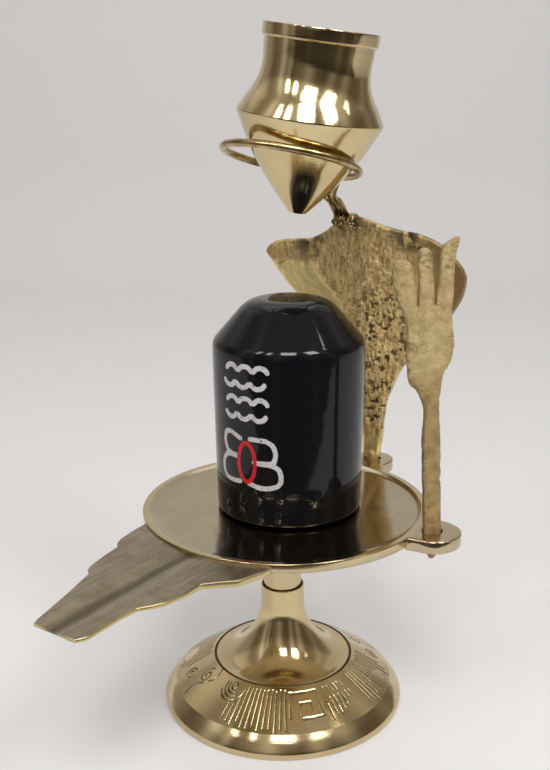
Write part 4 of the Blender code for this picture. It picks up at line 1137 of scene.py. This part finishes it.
def wirePath():
    # Both ends lie side by side on the crest, rise together and part into the loop
    p = wire
    up = np.array([0, 0, 1.0])
    crest = crestPoint() + up * p["bead"][1] * 0.45
    start = p["openingMiddle"] - p["opening"] / 2
    loop = loopPoints(start - (tau - p["opening"]) * np.arange(p["turns"] + 1) / p["turns"])
    beside = hoodRight * (p["radius"] + p["gap"] / 2)
    gather = blendTo((loop[0] + loop[-1]) / 2, crest, p["bend"]) - (p["sag"], 0, p["sag"])
    crest = crest - beside
    halfWay = (crest + gather) / 2
    end = crest - up * p["endDrop"]
    route = [end - beside, halfWay - beside, gather - beside, *loop[1:-1], gather + beside,
             halfWay + beside, end + beside]
    return np.array(route)


def lumpShell(place, size, seed, soot):
    # Melted solder: an egg whose radius is times 1 - 0.45 noise, with facets where the
    # noise is cut off above
    across = np.linspace(0.02, np.pi - 0.02, 60)[:, None]
    ball = turnedGrid(np.hstack([np.sin(across), np.cos(across)]), evenTurn(90))
    dents = np.maximum(0.25, valueNoise(ball, 0.55, seed))
    uneven = 1 - 0.42 * dents - 0.10 * valueNoise(ball, 0.22, seed + 2)
    lump = ball * size * uneven[..., None]
    axes = np.stack([hoodRight, hoodFront, np.array([0, 0, 1.0])])
    return shell(lump @ axes + place, along=0.0, soot=soot)


def makeWire():
    p = wire
    path = throughPoints(wirePath(), np.linspace(0, 1, p["steps"]))
    grid = tubeGrid(path, p["radius"], p["sides"])
    length = pathLength(path)
    fromEnd = np.minimum(length, length[-1] - length)
    soot = smoothStep((5.0 - fromEnd) / 4.0)[:, None] * 0.8
    parts = [shell(grid, along=length[:, None], soot=soot)]
    # The solder stands over the crest and down its front, inside the solid bead's box
    depth, height = p["bead"]
    for side, rise, width, deep, high, seed, dark in p["lumps"]:
        place = crestPoint() - (0, 0, p["drop"]) + hoodRight * side + (0, 0, rise)
        parts.append(lumpShell(place, np.array([width, depth * deep, height * high]), seed, dark))
    addPiece("loop_wire", parts, "wire_loop", wireBrass("wire_brass"))


# Studio

studio = {
    "camera": (0.0, -212.6424, 134.2219), "turn": (74.41869, 0.38760, 0.27187),
    "lens": 47.449, "sensor": 36.0,
    "wallBehind": 620.0, "coveRadius": 90.0, "floorHalf": 2600.0, "wallHalf": 560.0, "wallTop": 1500.0,
    "paper": (0.69, 0.685, 0.69), "glow": 0.175, "seen": (0.66, 0.65, 0.65), "ceiling": (0.34, 0.32, 0.29),
    "wideFloor": -0.5, "tableEdge": -130.0, "darkFloor": 1.0, "lampAim": (0, 0, 90),
    "lamps": [  # azimuth from the camera's side (+ right), elevation, distance mm, width, height, watts
        (0, 50, 620, 190, 210, 1.6), (43, 48, 640, 160, 210, 1.4), (-35, 46, 640, 60, 190, 0.40),
        (-54, 44, 660, 60, 200, 0.40), (78, 46, 660, 26, 170, 0.16), (180, 62, 900, 700, 500, 0.9),
    ],
    # Below the table: azimuth and brightness of the dark room's lighter strips
    "lowBands": [(-90, 0.10), (-83, 0.12), (-77, 0.62), (-71, 0.12), (-64, 0.10), (-58, 0.30), (-52, 0.06),
                 (-30, 0.05), (-22, 0.10), (-14, 0.035), (18, 0.035), (34, 0.05), (42, 0.12), (50, 0.05),
                 (62, 0.06), (70, 0.22), (78, 0.06), (90, 0.06)],
    # Upright bands of the room's light: azimuth from the camera's side, and brightness
    "bands": [(-180, 0.55), (-140, 0.45), (-118, 0.36), (-102, 0.16), (-86, 0.22), (-75, 0.56),
              (-64, 0.24), (-57, 0.40), (-50, 0.12), (-28, 0.22), (-14, 0.38), (2, 0.13), (20, 0.10),
              (34, 0.34), (48, 0.12), (64, 0.36), (80, 0.14), (98, 0.16), (112, 0.30), (124, 0.20),
              (142, 0.42), (180, 0.55)],
}


def paleSurface(name):
    # Pale paper with very faint clouds, and a little light of its own for the far wall
    s = Surface(name)
    colour = studio["paper"]
    cloud = s.noise(160.0, 2)
    mixed = s.mix(cloud, colour, tuple(c * 0.985 for c in colour))
    return s.finish(mixed, 0.6, metallic=0.0, Emission_Color=(*colour, 1),
                    Emission_Strength=studio["glow"], Specular_IOR_Level=0.2)


def stageSheet(name, points, quads, finish):
    mesh = bpy.data.meshes.new(name)
    mesh.from_pydata(((np.array(points) + footAxis) * mm).tolist(), [], quads)
    mesh.shade_smooth()
    mesh.materials.append(finish)
    sheet = bpy.data.objects.new(name, mesh)
    bpy.context.scene.collection.objects.link(sheet)
    return sheet


def flatSheet(name, low, high, level, finish):  # corners as (x, y)
    corners = [(low[0], low[1]), (high[0], low[1]), (high[0], high[1]), (low[0], high[1])]
    return stageSheet(name, [(*corner, level) for corner in corners], [(0, 1, 2, 3)], finish)


def makeStage():
    # Floor, cove and wall are one swept sheet: z = 0, a quarter circle, then straight up.
    # A wide floor lies just under it and goes on beyond its sides
    p = studio
    a = np.linspace(0, tau / 4, 24)
    start = p["wallBehind"] - p["coveRadius"]
    cove = np.stack([start + p["coveRadius"] * np.sin(a), p["coveRadius"] * (1 - np.cos(a))], axis=-1)
    profile = np.vstack([[(-p["floorHalf"], 0)], cove, [(p["wallBehind"], p["wallTop"])]])
    points = [(x, y, z) for y, z in profile for x in (-p["wallHalf"], p["wallHalf"])]
    quads = [(i, i + 1, i + 3, i + 2) for i in range(0, len(points) - 2, 2)]
    paper = paleSurface("pale_paper")
    stageSheet("backdrop", points, quads, paper)
    far = p["floorHalf"]
    flatSheet("wide_floor", (-far, -far), (far, far), p["wideFloor"], paper)


def roundBands(s, x, y, bands, tint):
    # A colour by heading: atan2(x, -y) is 0 towards the camera and grows to the right;
    # tint gives the colour of a band's brightness
    stops = [(0.5 + degrees / 360, tuple(tint(tone))) for degrees, tone in bands]
    heading = x.math("ARCTAN2", y * -1) / tau + 0.5
    return s.add("ValToRGB", {"stops": stops}, {"Fac": heading}, "Color")


def makeTableEdge():
    # In front of the object the pale table ends and the room below is dark. This sheet is
    # painted shade for that dark room, with painted lighter strips; only reflections see it,
    # and it throws no shadow
    p = studio
    far = p["floorHalf"]
    s = Surface("painted_room_shade")
    x, y = (s.add("SeparateXYZ", {}, {"Vector": s.place()}, axis) for axis in "XY")
    colour = roundBands(s, x, y, p["lowBands"], lambda tone: tone * np.array([1, 0.84, 0.66]))
    roomShade = s.finish(colour, 0.9, metallic=0.0)
    sheet = flatSheet("painted_shade_sheet", (-far, -far), (far, p["tableEdge"]), p["darkFloor"], roomShade)
    sheet.visible_camera = False
    sheet.visible_diffuse = False
    sheet.visible_shadow = False


def makeLamps():
    for number, (azimuth, elevation, distance, width, height, watts) in enumerate(studio["lamps"]):
        light = bpy.data.lights.new(f"softbox_{number}", "AREA")
        light.shape, light.energy = "RECTANGLE", watts
        light.size, light.size_y = width * mm, height * mm
        lamp = bpy.data.objects.new(f"softbox_{number}", light)
        a, e = math.radians(azimuth - 90), math.radians(elevation)
        offset = np.array([math.cos(a) * math.cos(e), math.sin(a) * math.cos(e), math.sin(e)]) * distance
        lamp.location = (offset + footAxis + studio["lampAim"]) * mm
        lamp.rotation_euler = (math.radians(90 - elevation), 0, a + tau / 4)
        lamp.visible_camera = False
        bpy.context.scene.collection.objects.link(lamp)


def makeSky():
    # Room light by direction: upright bands that fade to an even ceiling overhead and are
    # brighter higher up. Looked at directly the room is plain and pale
    world = bpy.data.worlds.new("room")
    bpy.context.scene.world = world
    room = Surface("room", world)
    direction = room.add("TexCoord", {}, {}, "Generated")
    x, y, up = (room.add("SeparateXYZ", {}, {"Vector": direction}, axis) for axis in "XYZ")

    def bandLight(gain):  # the darker a band, the warmer it is
        def tint(tone):
            return gain * tone * np.array([1, 0.82 + tone * 0.30, 0.62 + tone * 0.60])
        return roundBands(room, x, y, studio["bands"], tint)

    bands = room.mix(up.step(0.40, 0.58), bandLight(0.85), bandLight(1.6))
    tone = room.mix(up.step(0.70, 0.95), bands, studio["ceiling"])
    tone = room.mix(room.add("LightPath", {}, {}, "Is Camera Ray"), tone, studio["seen"])
    background = room.tree.nodes["Background"]
    room.tree.links.new(tone.socket, background.inputs["Color"])
    background.inputs["Strength"].default_value = 1.0


def makeCamera():
    lens = bpy.data.cameras.new("camera")
    lens.lens, lens.sensor_width = studio["lens"], studio["sensor"]
    lens.clip_start = 0.01
    camera = bpy.data.objects.new("camera", lens)
    camera.location = (np.array(studio["camera"]) + footAxis) * mm
    camera.rotation_euler = [math.radians(v) for v in studio["turn"]]
    bpy.context.scene.collection.objects.link(camera)
    bpy.context.scene.camera = camera


bpy.context.scene.view_settings.view_transform = "Standard"
makeCamera()
makeStage()
makeTableEdge()
makeLamps()
makeSky()
print("studio ready")
makeFoot()
makeDish()
makeStone()
makePot()
makeHood()
makeTrident()
makeWire()
print("pieces ready")
